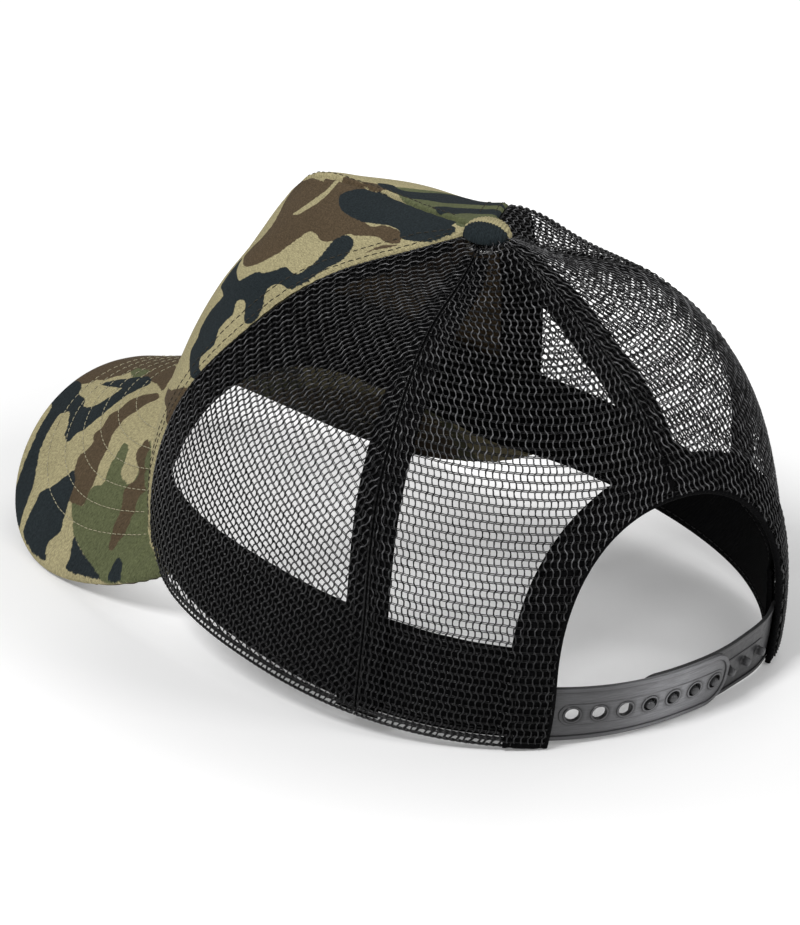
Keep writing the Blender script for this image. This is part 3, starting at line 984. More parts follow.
th, psi, v, p = band(None, 2.4, 31.0, 152.6)
s_len = np.concatenate([[0], np.cumsum(np.linalg.norm(np.diff(p[:, 0], axis=0), axis=1))])[:, None] + 0 * v
hgt = v * 29
edge = np.clip(np.minimum(hgt, 29 - hgt) / 1.0, 0, 1)
rnd = np.sqrt(np.clip(1 - (1 - edge) ** 2, 0, 1))
pad = 0.12 * np.sin(s_len * 0.55 + 4 * vnoise(p, 30)) * np.exp(-((hgt - 26) / 5) ** 2) + 0.5 * (vnoise(p, 22) - 0.5)
gro = 0.25 * np.exp(-((hgt - 26.3) / 0.8) ** 2) + 0.2 * np.exp(-((hgt - 3) / 0.8) ** 2)
mid = 3.55
o, n_o = crown_at(th, psi, mid - 0.75 * rnd + pad * 0.6 + gro)
i, n_i = crown_at(th, psi, mid + 0.75 * rnd + pad * 0.6 - gro)
pt = np.stack([s_len, hgt, 0 * hgt], -1).reshape(-1, 3)
Vv, Qq = shell(o, i)
Builder().add(Vv, Qq, pat=np.concatenate([pt, pt])).build("sweatband_cloth", SWEAT, "crown", "sweatband_cloth", ["sweatband"])
BAND_ROWS = [(o[:, 39], n_o[:, 39]), (o[:, 4], n_o[:, 4])]
BAND_ROWS_IN = [(i[:, 39], -n_o[:, 39]), (i[:, 4], -n_o[:, 4])]
th, psi, v, p = band(None, 4.0, 29.8, 152.0, 300, 24)
o, _ = crown_at(th, psi, np.full(th.shape, 3.38)); i, _ = crown_at(th, psi, np.full(th.shape, 3.72))
s_len = np.concatenate([[0], np.cumsum(np.linalg.norm(np.diff(p[:, 0], axis=0), axis=1))])[:, None] + 0 * v
pt = np.stack([s_len, v * 30, 0 * v], -1).reshape(-1, 3)
Vv, Qq = shell(o, i)
Builder().add(Vv, Qq, pat=np.concatenate([pt, pt])).build("sweatband_felt", FELT, "crown", "interlining", ["sweatband_interlining"])


# ------------------------------------------------------------------ binding of the rear opening
def on_rear(x, z):
    """Crown angles of the rear surface point seen at (x, z) in the design XZ plane."""
    x, z = np.asarray(x, float), np.asarray(z, float)
    th = 180 - np.degrees(np.arctan2(x, 92.0)); psi = np.degrees(np.arcsin(np.clip(z / 118, -0.1, 0.98)))
    for _ in range(12):
        p = crown(th, psi)
        e = 0.05
        a = (crown(th + e, psi) - p) / e; b = (crown(th, psi + e) - p) / e
        rx, rz = x - p[..., 0], z - p[..., 2]
        det = a[..., 0] * b[..., 2] - b[..., 0] * a[..., 2]
        th = th + np.clip((rx * b[..., 2] - b[..., 0] * rz) / det, -8, 8)
        psi = psi + np.clip((a[..., 0] * rz - a[..., 2] * rx) / det, -8, 8)
    return th, psi


def arch_curve(grow, count):
    """The arch outline grown by a margin, from the lower +X end over the top, evenly spaced."""
    a, b = ARCH_A + grow, ARCH_B + grow
    t = np.radians(np.linspace(0, 180, 721))
    x = a * np.sign(np.cos(t)) * np.abs(np.cos(t)) ** (2 / ARCH_P)
    z = ARCH_S + b * np.abs(np.sin(t)) ** (2 / ARCH_P)
    low = np.linspace(0.4, ARCH_S, 30)[:-1]
    P = np.concatenate([np.stack([np.full(29, a), low], -1), np.stack([x, z], -1), np.stack([np.full(29, -a), low[::-1]], -1)])
    q, _ = resample(P, count=count)
    return q


NA = 400
sec = [(w, 0.55) for w in np.linspace(10.0, 0.4, 22)]
sec += [(-0.05 - 0.75 * math.sin(a) * 1.0 + 0.45, -0.4 + 0.95 * math.cos(a)) for a in np.linspace(0.3, math.pi - 0.3, 9)]
sec += [(w, -1.35) for w in np.linspace(0.4, 10.0, 22)]
sec = np.array(sec)
T2 = np.gradient(sec, axis=0); T2 /= np.linalg.norm(T2, axis=1, keepdims=True)
in2 = sec + np.stack([T2[:, 1], -T2[:, 0]], -1) * -0.42
rings_o, rings_i = [], []
S_arch = np.linspace(0, 1, NA)
for (w, h), (wi, hi_) in zip(sec, in2):
    c = arch_curve(w, NA); t_, p_ = on_rear(c[:, 0], c[:, 1])
    P = crown(t_, p_); n = crown_n(t_, p_)
    rings_o.append((P, n, np.full(NA, h)))
    c = arch_curve(wi, NA); t_, p_ = on_rear(c[:, 0], c[:, 1])
    P2 = crown(t_, p_); n2 = crown_n(t_, p_)
    rings_i.append(P2 + n2 * hi_)
arc_len = 190.0
O = []
for k, (P, n, h) in enumerate(rings_o):
    s = S_arch * arc_len
    leg = 1.0 if sec[k, 1] > 0 else 0.6
    w = sec[k, 0]
    kn = 0.17 * np.sin(2 * np.pi * s / 1.9 + (k % 2) * 0.0) * np.sin(2 * np.pi * w / 2.4 + 0.6) + 0.12 * (vnoise(P, 1.6) - 0.5) * 2
    puck = 0.22 * np.sin(s * 2 * np.pi / 7.5 + 3 * vnoise(P, 14)) * smooth(2, 9, w)
    groove = -0.35 * math.exp(-((w - 1.6) / 0.7) ** 2) - 0.35 * math.exp(-((w - 8.4) / 0.7) ** 2)
    O.append(P + n * (h + leg * (kn + puck) * (1 if sec[k, 1] > -0.6 else -1) + groove * (1 if sec[k, 1] > 0 else -1) * (abs(sec[k, 1]) > 0.5))[:, None])
O = np.stack(O, 1); I = np.stack(rings_i, 1)
wl = np.concatenate([[0], np.cumsum(np.linalg.norm(np.diff(sec, axis=0), axis=1))])
pt = np.stack([np.repeat((S_arch * arc_len)[:, None], len(sec), 1), np.repeat(wl[None], NA, 0), np.zeros((NA, len(sec)))], -1).reshape(-1, 3)
Vv, Qq = shell(O, I)
Builder().add(Vv, Qq, pat=np.concatenate([pt, pt])).build("arch_binding", BIND, "crown", "tape", ["rear_opening_binding"])
BIND_ROWS = []
for w in (1.6, 8.4):
    c = arch_curve(w, NA); t_, p_ = on_rear(c[:, 0], c[:, 1])
    P = crown(t_, p_); n = crown_n(t_, p_)
    BIND_ROWS.append((P + n * 0.35, n))


# ------------------------------------------------------------------ visor
def outline_pt(t, inset=0.0):
    a, b = VW - inset, VL - inset
    c, s = np.cos(t), np.sin(t)
    return np.stack([a * np.sign(c) * np.abs(c) ** (2 / VP), VY + b * np.sign(s) * np.abs(s) ** (2 / VP)], -1)


tt = np.linspace(-75, 75, 1501)
zz = rim_height(tt, 0.0)
pc = crown(tt, psi_at(tt, zz)); nc = crown_n(tt, psi_at(tt, zz))
q = nc[:, :2] / np.linalg.norm(nc[:, :2], axis=1, keepdims=True)
BACK = pc[:, :2] - 2.3 * q


def visor_loop(inset, count):
    """Outline point and matching back point, from the -X corner round the front to +X."""
    F = (np.abs(BACK[:, 0]) / (VW - inset)) ** VP + (np.abs(BACK[:, 1] - VY) / (VL - inset)) ** VP - 1
    ok = np.where(F < 0)[0]
    i0, i1 = ok[0], ok[-1]
    bk, _ = resample(BACK[i0:i1 + 1], count=count)
    t = np.radians(np.linspace(-90 - 150, -90 + 150, 6001))
    o = outline_pt(t, inset)
    a = np.argmin(np.linalg.norm(o[:3000] - BACK[i0], axis=1)); b = 3000 + np.argmin(np.linalg.norm(o[3000:] - BACK[i1], axis=1))
    ou, _ = resample(o[a:b + 1], count=count)
    return ou, bk


NO, NR = 420, 121
OUT, BK = visor_loop(0.0, NO)
EDGE_LINE = outline_pt(np.radians(np.linspace(-250, 70, 1600)))


def edge_dist(P):
    """Distance in from the visor's outline."""
    best = np.full(len(P), 1e9)
    for k in range(0, len(P), 20000):
        c = P[k:k + 20000]
        d = np.linalg.norm(c[:, None, :] - EDGE_LINE[None, ::2, :], axis=-1)
        best[k:k + 20000] = d.min(1)
    return best


ROWS_E = [VROW0 + VROWP * k for k in range(6)]
r = np.linspace(0, 1, NR)
r = 1 - (1 - r) ** 1.0
XY = BK[:, None, :] + (OUT - BK)[:, None, :] * r[None, :, None]
E = edge_dist(XY.reshape(-1, 2)).reshape(XY.shape[:2])
E[:, -1] = 0
vn = visor_n(XY[..., 0], XY[..., 1])
vz = visor_z(XY[..., 0], XY[..., 1])
mid3 = np.concatenate([XY, vz[..., None]], -1)


def visor_face(sign, seed):
    full = 1.6
    prof = np.sqrt(np.clip(1 - (1 - np.clip(E / 1.9, 0, 1)) ** 2, 0, 1))
    h = full * prof
    for e in ROWS_E:
        h = h - 0.26 * np.exp(-((E - e) / 0.75) ** 2)
    P3 = mid3 + seed * 50
    h = h + (0.22 * (vnoise(P3, 11) - 0.5) + 0.10 * np.sin(P3[..., 0] * 0.8 + 5 * vnoise(P3, 13))) * smooth(0, 6, E) * 0.8
    if sign > 0:  # small gathers where the cloth runs under the crown
        dist = np.linalg.norm(XY - BK[:, None, :], axis=-1)
        h = h + 0.35 * np.sin(np.arange(NO)[:, None] * 0.42 + 6 * vnoise(P3, 17)) * np.exp(-((dist - 3.5) / 3.0) ** 2) * smooth(0, 8, E)
    return mid3 + vn * (sign * h)[..., None], h


top, htop = visor_face(1, 0)
bot, hbot = visor_face(-1, 1)
keep = smooth(VKEEP0, VKEEP1, XY[..., 0]).ravel()
XYf = XY.reshape(-1, 2)
ft = camo_fields(XYf, CAMO_SHAPES["visor"], keep, 2)
fb = camo_fields(XYf, {}, np.zeros(len(XYf)), 3)
fb["sd_brown"] = np.minimum(fb["sd_brown"], np.hypot((XYf[:, 0] + 62) / 20, (XYf[:, 1] + 122) / 42) * 14 - 14)
pt = np.concatenate([XYf, np.zeros((len(XYf), 1))], 1)
for nm, node, sgn, face, hh, fl in (("visor_top_cloth", "visor_top_cover", 1, top, htop, ft), ("visor_bottom_cloth", "visor_bottom_cover", -1, bot, hbot, fb)):
    innr = mid3 + vn * (sgn * np.clip(hh - 0.5, 0.0, None))[..., None]
    innr[:, -1] = mid3[:, -1] - np.concatenate([(OUT - BK) / np.linalg.norm(OUT - BK, axis=1, keepdims=True), np.zeros((NO, 1))], -1) * 0.25 * np.minimum(1, np.linalg.norm(OUT - BK, axis=1))[:, None]
    g = (face, innr) if sgn > 0 else (face[::-1], innr[::-1])
    Vv, Qq = shell(*g)
    if sgn < 0:
        fl = {k: v_.reshape(NO, NR)[::-1].ravel() for k, v_ in fl.items()}
        ptt = pt.reshape(NO, NR, 3)[::-1].reshape(-1, 3)
    else:
        ptt = pt
    Builder().add(Vv, Qq, pat=np.concatenate([ptt, ptt]), **{k: np.concatenate([v_, v_]) for k, v_ in fl.items()}).build(nm, CAMO if sgn > 0 else CAMO_BACK, "crown", "front_cloth", [node])

# the stiff board between the covers
ou, bk = visor_loop(1.8, 160)
rr = np.linspace(0, 1, 50)
xy = bk[:, None] + (ou - bk)[:, None] * rr[None, :, None]
n_ = visor_n(xy[..., 0], xy[..., 1]); m_ = np.concatenate([xy, visor_z(xy[..., 0], xy[..., 1])[..., None]], -1)
Vv, Qq = shell(m_ + n_ * 0.95, m_ - n_ * 0.95)
Builder().add(Vv, Qq).build("visor_board_sheet", BOARD, "crown", "visor_board", ["visor_board"])


def visor_row(e, sign):
    t = np.radians(np.linspace(-250, 70, 1400))
    a, b = VW, VL
    P = outline_pt(t)
    T = np.gradient(P, axis=0); T /= np.linalg.norm(T, axis=1, keepdims=True)
    n2 = np.stack([-T[:, 1], T[:, 0]], -1)
    c = P + n2 * e
    if np.abs(c[700, 1]) > np.abs(P[700, 1]):
        c = P - n2 * e
    # keep the part in front of the crown
    bi = np.interp(c[:, 0], BACK[:, 0], BACK[:, 1])
    ok = (c[:, 1] < bi - 2.6) & (np.abs(c[:, 0]) < BACK[-1, 0] + 40)
    far = np.abs(c[:, 0]) > BACK[:, 0].max()
    ok |= far & (c[:, 1] < VY + 20)
    idx = np.where(ok)[0]
    c = c[idx[0]:idx[-1] + 1]
    c, _ = resample(c, 0.5)
    n = visor_n(c[:, 0], c[:, 1])
    P3 = np.concatenate([c, visor_z(c[:, 0], c[:, 1])[:, None]], -1) + n * (1.6 - 0.26) * sign
    return P3, n * sign


B = Builder()
for e in ROWS_E:
    P, n = visor_row(e, 1)
    stitch_row(B, P, n, 2.7, 2.1, 0.15, 0.06, RNG.random() * 2)
B.build("visor_top_stitching", THREAD, "crown", "front_cloth")
B = Builder()
for e in ROWS_E:
    P, n = visor_row(e, -1)
    stitch_row(B, P, n, 2.7, 2.1, 0.15, 0.06, RNG.random() * 2)
B.build("visor_bottom_stitching", THREAD, "crown", "front_cloth")

# ------------------------------------------------------------------ topstitching on the crown
B = Builder()
for sgn in (-1, 1):
    for off in (1.7, 5.9):
        psi = np.linspace(float(psi_at(np.array(SF), rim_height(np.array(SF), 3.4))), 84.5 if sgn > 0 else 76.0, 600)
        p = crown(SF, psi); r = np.hypot(p[:, 0], p[:, 1] - AY)
        off_ = np.minimum(off, 0.3 * r)
        th = sgn * (sf(psi, sgn) - np.degrees(off_ / r))
        d = front_depth(th, psi)
        P, n = crown_at(th, psi, d)
        PP, _ = resample(np.concatenate([P, n], 1), 0.4)
        stitch_row(B, PP[:, :3], PP[:, 3:], 2.4, 1.8, 0.14, 0.04)
for off in (-2.2,):
    psi = np.linspace(float(psi_at(np.array(0.0), np.array(101.0))), 82.0, 300)
    p = crown(0.0, psi); r = np.hypot(p[:, 0], p[:, 1] - AY)
    th = np.degrees((np.interp(np.interp(psi, FRONT_TAB[1], FRONT_TAB[3]), DART_V, DART_U) - np.minimum(abs(off), 0.3 * r)) / r)
    P, n = crown_at(th, psi, front_depth(th, psi))
    PP, _ = resample(np.concatenate([P, n], 1), 0.4)
    stitch_row(B, PP[:, :3], PP[:, 3:], 2.4, 1.8, 0.14, 0.04)
B.build("front_seam_stitching", THREAD_DK, "crown", "front_cloth")

B = Builder()
for sgn in (-1, 1):
    for o in (-3.4, 3.4):
        P, n = meridian(sgn * SS, o, -0.05, 3.0, 84.0, 0.4)
        stitch_row(B, P, n, 2.7, 2.1, 0.17, 0.1)
for o in (-3.4, 3.4):
    P, n = meridian(180, o, -0.05, ARCH_S + ARCH_B + 11, 84.0, 0.4)
    stitch_row(B, P, n, 2.7, 2.1, 0.17, 0.1)
for P, n in BIND_ROWS:
    PP, _ = resample(np.concatenate([P, n], 1), 0.4)
    stitch_row(B, PP[:, :3], PP[:, 3:], 2.7, 2.1, 0.18, 0.08)
B.build("mesh_seam_stitching", THREAD_BK, "crown", "tape")
B = Builder()
for P, n in BAND_ROWS + BAND_ROWS_IN:
    PP, _ = resample(np.concatenate([P, n], 1), 0.5)
    stitch_row(B, PP[:, :3], PP[:, 3:], 3.1, 2.4, 0.17, 0.05)
B.build("sweatband_stitching", THREAD_BK, "crown", "sweatband_cloth")

# ------------------------------------------------------------------ straps
_t = np.linspace(95, 265, 3401)
_x, _y = rim(_t)
_s = np.concatenate([[0], np.cumsum(np.hypot(np.diff(_x), np.diff(_y)))])
_s = np.interp(180, _t, _s) - _s


def th_of(s):
    return np.interp(-np.asarray(s, float), -_s, _t)


SW, SMID, ST_T, S_H, S_LAST, TAB = 17.8, 1.7 + 8.9, 1.2, 43.4, -9.5, 11.0
HOLES = [S_LAST + 8 * k for k in range(7)]
PEGS = [S_LAST + 8 * k for k in range(-3, 4)]


def dive(s):
    k = np.clip((np.asarray(s, float) + 41.5) / 19.5, 0, 1)
    return 1.45 + 1.35 * k * k * (3 - 2 * k)


def stadium(s0, s1, hw, r, step=0.7):
    """Closed loop: a bar from s0 to s1, half width hw, corner radius r at both ends."""
    pts = []
    for cx, cy, a0 in ((s1 - r, hw - r, 0), (s0 + r, hw - r, 90), (s0 + r, -hw + r, 180), (s1 - r, -hw + r, 270)):
        for a in np.linspace(a0, a0 + 90, max(4, int(r * 1.57 / step) + 2)):
            pts.append((cx + r * math.cos(math.radians(a)), cy + r * math.sin(math.radians(a))))
    P = np.array(pts + [pts[0]])
    q, _ = resample(P, count=max(12, int(np.linalg.norm(np.diff(P, axis=0), axis=1).sum() / step)))
    return q[:-1]


def strap_mesh(tip_s, root_s, depth, holes, name, node_free, node_tab, pegs=()):
    lo, hi = min(tip_s, root_s), max(tip_s, root_s)
    tip_low = tip_s < root_s
    R = 7.5

    def outline(inset):
        a, b = lo + inset, hi - inset
        hw = SW / 2 - inset
        r = max(R - inset, 0.4); r2 = max(1.2 - inset, 0.3)
        ra, rb = (r, r2) if tip_low else (r2, r)
        pts = []
        for cx, cy, a0, rr in ((b - rb, hw - rb, 0, rb), (a + ra, hw - ra, 90, ra), (a + ra, -hw + ra, 180, ra), (b - rb, -hw + rb, 270, rb)):
            for g in np.linspace(a0, a0 + 90, 14 if rr > 2 else 4):
                pts.append((cx + rr * math.cos(math.radians(g)), cy + rr * math.sin(math.radians(g))))
        P = np.array(pts + [pts[0]])
        q, _ = resample(P, count=int(np.linalg.norm(np.diff(P, axis=0), axis=1).sum() / 0.65))
        return q[:-1]

    loops = [(outline(0.0), -0.22), (outline(0.1), -0.07), (outline(0.28), 0.0), (outline(1.25), 0.0), (outline(1.42), -0.06), (outline(1.55), -0.42), (outline(1.85), -0.4)]
    if holes:
        h0, h1 = min(holes), max(holes)
        loops += [(stadium(h0 - 4.3, h1 + 4.3, 3.75, 3.7), -0.34), (stadium(h0 - 4.1, h1 + 4.1, 3.55, 3.5), -0.36), (stadium(h0 - 3.9, h1 + 3.9, 3.35, 3.3), -0.12), (stadium(h0 - 3.75, h1 + 3.75, 3.2, 3.15), -0.08)]
    if pegs:
        h0, h1 = min(pegs), max(pegs)
        loops += [(stadium(h0 - 4.3, h1 + 4.3, 3.75, 3.7), -0.34), (stadium(h0 - 4.1, h1 + 4.1, 3.55, 3.5), -0.36), (stadium(h0 - 3.9, h1 + 3.9, 3.35, 3.3), -0.12), (stadium(h0 - 3.75, h1 + 3.75, 3.2, 3.15), -0.08)]
    ring = np.radians(np.arange(28) * 360 / 28)
    hole_loops = []
    for s in holes:
        for rr, hh in ((3.0, -0.08), (2.82, -0.14), (2.68, 0.1), (2.42, 0.18), (2.16, 0.08), (2.06, -0.25)):
            L = np.stack([s + rr * np.cos(ring), rr * np.sin(ring)], -1)
            loops.append((L, hh))
            if rr == 2.06:
                hole_loops.append(L)
    for s in pegs:
        for rr, hh in ((2.1, -0.12), (1.6, 0.02)):
            loops.append((np.stack([s + rr * np.cos(ring), rr * np.sin(ring)], -1), hh))
    pts, edges, hts = [], [], []
    for L, hh in loops:
        b = len(pts)
        pts += [tuple(x) for x in L]; hts += [hh] * len(L)
        edges += [(b + k, b + (k + 1) % len(L)) for k in range(len(L))]
    L0 = np.array([p for p in pts])
    # extra points so that the flat areas follow the curve of the head
    gx, gy = np.meshgrid(np.arange(lo + 2.2, hi - 2.0, 1.3), np.arange(-7.0, 7.01, 1.0), indexing="ij")
    G = np.stack([gx.ravel(), gy.ravel()], -1)
    D = np.sqrt(((G[:, None] - L0[None]) ** 2).sum(-1)).min(1)
    inside = signed_distance(G, outline(1.55)) < -0.5
    for s in holes:
        inside &= np.hypot(G[:, 0] - s, G[:, 1]) > 3.1
    G = G[(D > 0.45) & inside]
    nb = len(pts)

    def height(q):
        """Height of an added point: inside or outside the raised bar."""
        out = np.full(len(q), -0.34)
        src = holes or pegs
        if src:
            out[signed_distance(q, stadium(min(src) - 3.8, max(src) + 3.8, 3.25, 3.2)) < 0] = -0.08
        return out

    hts += list(height(G)); pts += [tuple(x) for x in G]
    vs, _, faces, ov, _, _ = delaunay_2d_cdt([Vector(p) for p in pts], edges, [], 0, 1e-5, True)
    vs = np.array([tuple(v_) for v_ in vs])
    hh = np.array([hts[o_[0]] if len(o_) else -0.34 for o_ in ov])
    tri = np.array([f for f in faces if len(f) == 3])
    cen = vs[tri].mean(1)
    ok = signed_distance(cen, outline(0.0)) < 0
    for s in holes:
        ok &= np.hypot(cen[:, 0] - s, cen[:, 1]) > 2.0
    tri = tri[ok]
    ar = np.cross(vs[tri[:, 1]] - vs[tri[:, 0]], vs[tri[:, 2]] - vs[tri[:, 0]])
    tri[ar < 0] = tri[ar < 0][:, ::-1]
    tri = tri[np.abs(ar) > 1e-9]
    # orientation: s runs towards the wearer's left, so (s, v) faces inwards; flip for the outer face

    def place(q, h):
        th = th_of(q[:, 0]); d = depth(q[:, 0]) - h
        psi = psi_at(th, SMID + q[:, 1], d)
        P, n = crown_at(th, psi, d)
        return P

    top = place(vs, hh)
    sd = signed_distance(vs, outline(0.0))
    low_h = np.where(sd > -0.05, -ST_T + 0.2, -ST_T)
    und = place(vs, low_h)
    m = len(vs)
    e = np.concatenate([tri[:, [0, 1]], tri[:, [1, 2]], tri[:, [2, 0]]])
    key = e.min(1) * m + e.max(1)
    u_, cnt = np.unique(key, return_counts=True)
    be = e[np.isin(key, u_[cnt == 1])]
    # outward direction test on the first triangle
    t0 = tri[0]
    nn = np.cross(top[t0[1]] - top[t0[0]], top[t0[2]] - top[t0[0]])
    outward = nn @ (top[t0[0]] - np.array([0, AY, 40.0])) > 0
    T_out = tri if outward else tri[:, ::-1]
    T_in = (tri[:, ::-1] if outward else tri) + m
    wall = np.stack([be[:, 0], be[:, 0] + m, be[:, 1] + m, be[:, 1]], -1)
    wall = wall if outward else wall[:, ::-1]
    B = Builder()
    pat_ = np.concatenate([vs, np.zeros((m, 1))], 1)
    # darker lines where the steps meet the faces
    cr = np.zeros(m)
    for L, w_ in ((outline(1.58), 0.9), (outline(0.0), 0.7)):
        cr = np.maximum(cr, w_ * np.exp(-(signed_distance(vs, L) / 0.2) ** 2))
    src = holes or pegs
    if src:
        cr = np.maximum(cr, 0.75 * np.exp(-(signed_distance(vs, stadium(min(src) - 4.05, max(src) + 4.05, 3.5, 3.45)) / 0.14) ** 2))
    for s in holes:
        q_ = np.hypot(vs[:, 0] - s, vs[:, 1])
        cr = np.maximum(cr, np.exp(-((q_ - 2.84) / 0.2) ** 2)); cr = np.maximum(cr, (q_ < 2.2) * 1.0)
    tone_ = TONE_A + (TONE_B - TONE_A) * np.exp(-((vs[:, 0] - 6.0) / 17.0) ** 2) if holes else np.full(m, TONE_P)
    B.add(np.concatenate([top, und]), wall, np.concatenate([T_out, T_in]), pat=np.concatenate([pat_, pat_ + np.array([0, 40, 0])]), crease=np.concatenate([cr, np.ones(m) * 0.4]), tone=np.concatenate([tone_, tone_]))
    for s in pegs:
        prof = [(2.0, -0.16), (1.72, -0.1), (1.48, 0.08), (1.34, 0.35), (1.30, 0.7), (1.30, 1.55), (1.24, 1.85), (1.05, 2.12), (0.75, 2.26), (0.35, 2.31), (0.0, 2.32)]
        na = 28
        a = np.arange(na) * 2 * np.pi / na
        rr = np.array([p_[0] for p_ in prof]); zz_ = np.array([p_[1] for p_ in prof])
        q = np.stack([s + rr[:, None] * np.cos(a), rr[:, None] * np.sin(a)], -1)
        d0 = float(depth(np.array(s))); th0 = float(th_of(s))
        psi0 = float(psi_at(np.array(th0), np.array(SMID), np.array(d0)))
        P0, n0 = crown_at(np.array(th0), np.array(psi0), np.array(d0))
        tz = crown_at(np.array(th0), np.array(psi0 + 0.3), np.array(d0))[0] - P0; tz /= np.linalg.norm(tz)
        tx = np.cross(tz, n0)
        V3 = P0 + (rr[:, None] * np.cos(a))[..., None] * tx + (rr[:, None] * np.sin(a))[..., None] * tz + (zz_[:, None] + 0 * a)[..., None] * n0
        k = len(prof)
        i_, j_ = np.meshgrid(np.arange(k - 1), np.arange(na), indexing="ij")
        jn = (j_ + 1) % na
        Qp = np.stack([i_ * na + j_, i_ * na + jn, (i_ + 1) * na + jn, (i_ + 1) * na + j_], -1).reshape(-1, 4)
        B.add(V3.reshape(-1, 3), Qp, pat=np.concatenate([q.reshape(-1, 2), np.zeros((k * na, 1))], 1), crease=np.repeat(np.clip(1 - zz_ / 1.5, 0, 0.8), na), tone=np.full(k * na, TONE_PEG))
    ob = B.build(name, PLASTIC, None, "strap_plastic", [node_free, node_tab], smooth_angle=42)
    sg = 1 if root_s > 0 else -1
    a_ = place(np.array([[sg * (S_H + 3.2), 0.0]]), np.array([-0.6]))[0]
    b_ = place(np.array([[sg * (S_H - 3.2), 0.0]]), np.array([-0.6]))[0]
    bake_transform(ob)
    return ob


strap_mesh(S_LAST - 6.2, S_H + TAB, lambda s: 1.45 + 0 * np.asarray(s), HOLES, "left_snap_strap", "left_strap", "left_strap_sewn_end")
strap_mesh(PEGS[-1] + 5.6, -S_H - TAB, dive, [], "right_snap_strap", "right_strap", "right_strap_sewn_end", PEGS)


# ------------------------------------------------------------------ button
def lathe(prof, n=160, close=False):
    """Turned surface on the crown's axis from (radius, height) pairs."""
    a = np.arange(n) * 2 * np.pi / n
    P = np.array(prof)
    V3 = np.stack([P[:, :1] * np.cos(a), AY + P[:, :1] * np.sin(a), P[:, 1:] + 0 * a], -1)
    k = len(P)
    rows = k if close else k - 1
    i_, j_ = np.meshgrid(np.arange(rows), np.arange(n), indexing="ij")
    jn = (j_ + 1) % n; ii = (i_ + 1) % k
    Q = np.stack([i_ * n + j_, i_ * n + jn, ii * n + jn, ii * n + j_], -1).reshape(-1, 4)
    return V3.reshape(-1, 3), Q


def dome(r, h, base, n=40):
    t = np.radians(np.linspace(0, 90, n))
    return [(float(r * max(c, 0) ** 0.9), float(base + h * s)) for c, s in zip(np.cos(t), np.sin(t))]


BZ = 114.7
out = dome(7.0, 4.4, BZ, 60)
inn = dome(6.45, 3.85, BZ, 30)
lip = [(6.45, BZ - 0.05), (6.6, BZ - 0.45), (6.9, BZ - 0.5), (7.05, BZ - 0.3)]
V3, Qb = lathe(inn[::-1] + lip + out[1:])
rel = V3 - np.array([0, AY, 0])
dirb = np.array([math.cos(BTN_RIB), math.sin(BTN_RIB)])
x_r = rel[:, :2] @ dirb; y_r = rel[:, :2] @ np.array([-dirb[1], dirb[0]])
nrm_b = rel - np.array([0, 0, BZ - 2.0]); nrm_b /= np.linalg.norm(nrm_b, axis=1, keepdims=True)
rib = 0.15 * np.sin(2 * np.pi * x_r / 0.95) * (np.arange(len(V3)) > 33 * 160)
fold_ = 0.22 * np.sin(np.arctan2(rel[:, 1], rel[:, 0]) * 13 + 1.3) * smooth(4.8, 7, np.hypot(rel[:, 0], rel[:, 1])) * (rel[:, 2] < BZ + 4)
V3 = V3 + nrm_b * (rib + fold_ * 0.4)[:, None]
split = rel[:, :2] @ np.array([math.cos(BTN_SPLIT), math.sin(BTN_SPLIT)]) + 1.7 + 0.5 * np.sin(y_r * 0.6)
Builder().add(V3, Qb, pat=np.stack([x_r, y_r, 0 * x_r], -1), sd_black=split, sd_brown=np.full(len(V3), 9.0), sd_olive=np.full(len(V3), 9.0), sd_tan=np.full(len(V3), 9.0)).build(
    "button_cloth_cover", CAMO, "crown", "button_cloth", ["button_cover"])
V3, Qb = lathe(dome(5.75, 3.2, BZ, 30)[::-1] + [(5.9, BZ - 0.1), (6.3, BZ - 0.1)] + dome(6.3, 3.72, BZ, 40)[1:], 96)
Builder().add(V3, Qb).build("button_metal_cap", METAL, "crown", "button_metal", ["button_cap"])
WT = 112.2
V3, Qb = lathe([(0.0, WT - 1.95), (1.5, WT - 1.9), (1.85, WT - 1.7), (1.85, WT - 1.45), (1.1, WT - 1.3), (1.05, BZ + 1.9), (2.5, BZ + 1.95), (2.6, BZ + 2.2), (2.5, BZ + 2.6), (0.0, BZ + 2.65)], 64)
Builder().add(V3, Qb).build("button_metal_prong", METAL, "crown", "button_metal", ["button_prong"])
V3, Qb = lathe([(1.25, WT - 0.95), (1.25, WT - 0.05), (1.6, WT), (5.9, WT), (6.3, WT - 0.2), (6.5, WT - 0.6), (6.3, WT - 0.95), (5.9, WT - 1.0), (1.6, WT - 1.0)], 96, True)
Builder().add(V3, Qb).build("button_metal_washer", METAL, "crown", "button_metal", ["button_washer"])

# ------------------------------------------------------------------ camera, light, floor
def row_dir(p):
    return np.array([p[0], p[1] * CT + p[2] * ST, -p[1] * ST + p[2] * CT])


az, el, ro, dist = math.radians(138.773), math.radians(27.06), math.radians(3.673), 1384.93
back = np.array([math.sin(az) * math.cos(el), -math.cos(az) * math.cos(el), math.sin(el)])
right = np.array([math.cos(az), math.sin(az), 0.0])
up = np.cross(back, right)
r2 = right * math.cos(ro) + up * math.sin(ro)
u2 = -right * math.sin(ro) + up * math.cos(ro)
C = np.array([26.460, -1.052, 47.462]) + back * dist
cam = bpy.data.cameras.new("camera")
cam.sensor_width = 36.0
cam.sensor_fit = "AUTO"
cam.lens = 4747.80 * 36.0 / 925.0
cam.clip_start = 0.05
co = bpy.data.objects.new("camera", cam)
M4 = Matrix(np.stack([row_dir(r2), row_dir(u2), row_dir(back)], 1).tolist()).to_4x4()
M4.translation = Vector(to_row(C))
co.matrix_world = M4
bpy.context.scene.collection.objects.link(co)
bpy.context.scene.camera = co

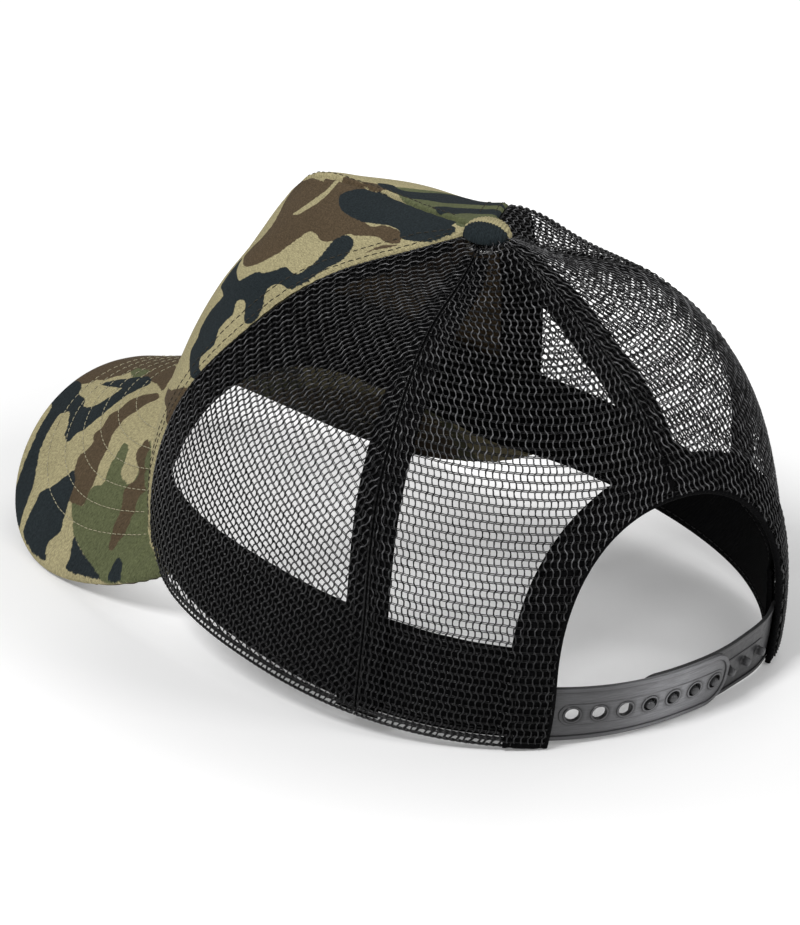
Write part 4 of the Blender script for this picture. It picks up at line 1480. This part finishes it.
me = bpy.data.meshes.new("floor")
fs = 6.0
me.from_pydata([(-fs, -fs, 0), (fs, -fs, 0), (fs, fs, 0), (-fs, fs, 0)], [], [(0, 1, 2, 3)])
FM = Mat("floor_paper", rough=0.95, color=(0.8, 0.8, 0.8), spec=0.05)
FM.b.inputs["Emission Color"].default_value = (1, 1, 1, 1)
flp = FM.n("ShaderNodeLightPath")
fsep = FM.n("ShaderNodeSeparateXYZ", {0: FM.n("ShaderNodeNewGeometry").outputs["Position"]})
fx = FM.math("DIVIDE", FM.math("SUBTRACT", fsep.outputs[0], -0.02), 0.1)
fy = FM.math("DIVIDE", FM.math("SUBTRACT", fsep.outputs[1], -0.03), 0.15)
fr = FM.math("SQRT", FM.math("ADD", FM.math("MULTIPLY", fx, fx), FM.math("MULTIPLY", fy, fy)))
fin = FM.ramp(fr, 0.8, 1.05, 1.0, 0.0, False)
ffar = FM.ramp(fr, 1.15, 2.25, FLOOR_GLOW, FLOOR_FAR)
fdeep = FM.ramp(fsep.outputs[1], -0.09, 0.0, GLOW_FRONT, GLOW_BACK, False)
glow = FM.math("ADD", ffar, FM.math("MULTIPLY", fin, fdeep))
FM.put(FM.b, "Emission Strength", FM.math("MULTIPLY", flp.outputs["Is Camera Ray"], glow))
me.materials.append(FM.m)
fl = bpy.data.objects.new("floor", me)
bpy.context.scene.collection.objects.link(fl)

world = bpy.data.worlds.new("world")
bpy.context.scene.world = world
world.use_nodes = True
bg = world.node_tree.nodes["Background"]
bg.inputs[0].default_value = (1, 1, 1, 1)
lp = world.node_tree.nodes.new("ShaderNodeLightPath")
mr = world.node_tree.nodes.new("ShaderNodeMapRange")
mr.inputs[3].default_value = WORLD
mr.inputs[4].default_value = 1.0
world.node_tree.links.new(lp.outputs["Is Camera Ray"], mr.inputs[0])
mg = world.node_tree.nodes.new("ShaderNodeMapRange")
mg.inputs[3].default_value = WORLD
mg.inputs[4].default_value = WORLD_GLOSS
world.node_tree.links.new(lp.outputs["Is Glossy Ray"], mg.inputs[0])
world.node_tree.links.new(mg.outputs[0], mr.inputs[3])
world.node_tree.links.new(mr.outputs[0], bg.inputs[1])


def lamp(name, pos, aim, size, power):
    l = bpy.data.lights.new(name, "AREA")
    l.shape = "RECTANGLE"; l.size = size[0]; l.size_y = size[1]
    l.energy = power
    ob = bpy.data.objects.new(name, l)
    ob.location = pos
    ob.rotation_euler = (Vector(pos) - Vector(aim)).to_track_quat("Z", "Y").to_euler()
    bpy.context.scene.collection.objects.link(ob)
    return ob


for args in LAMPS:
    lamp(*args)
bpy.context.scene.view_settings.view_transform = "Standard"
bpy.context.scene.view_settings.look = "None"
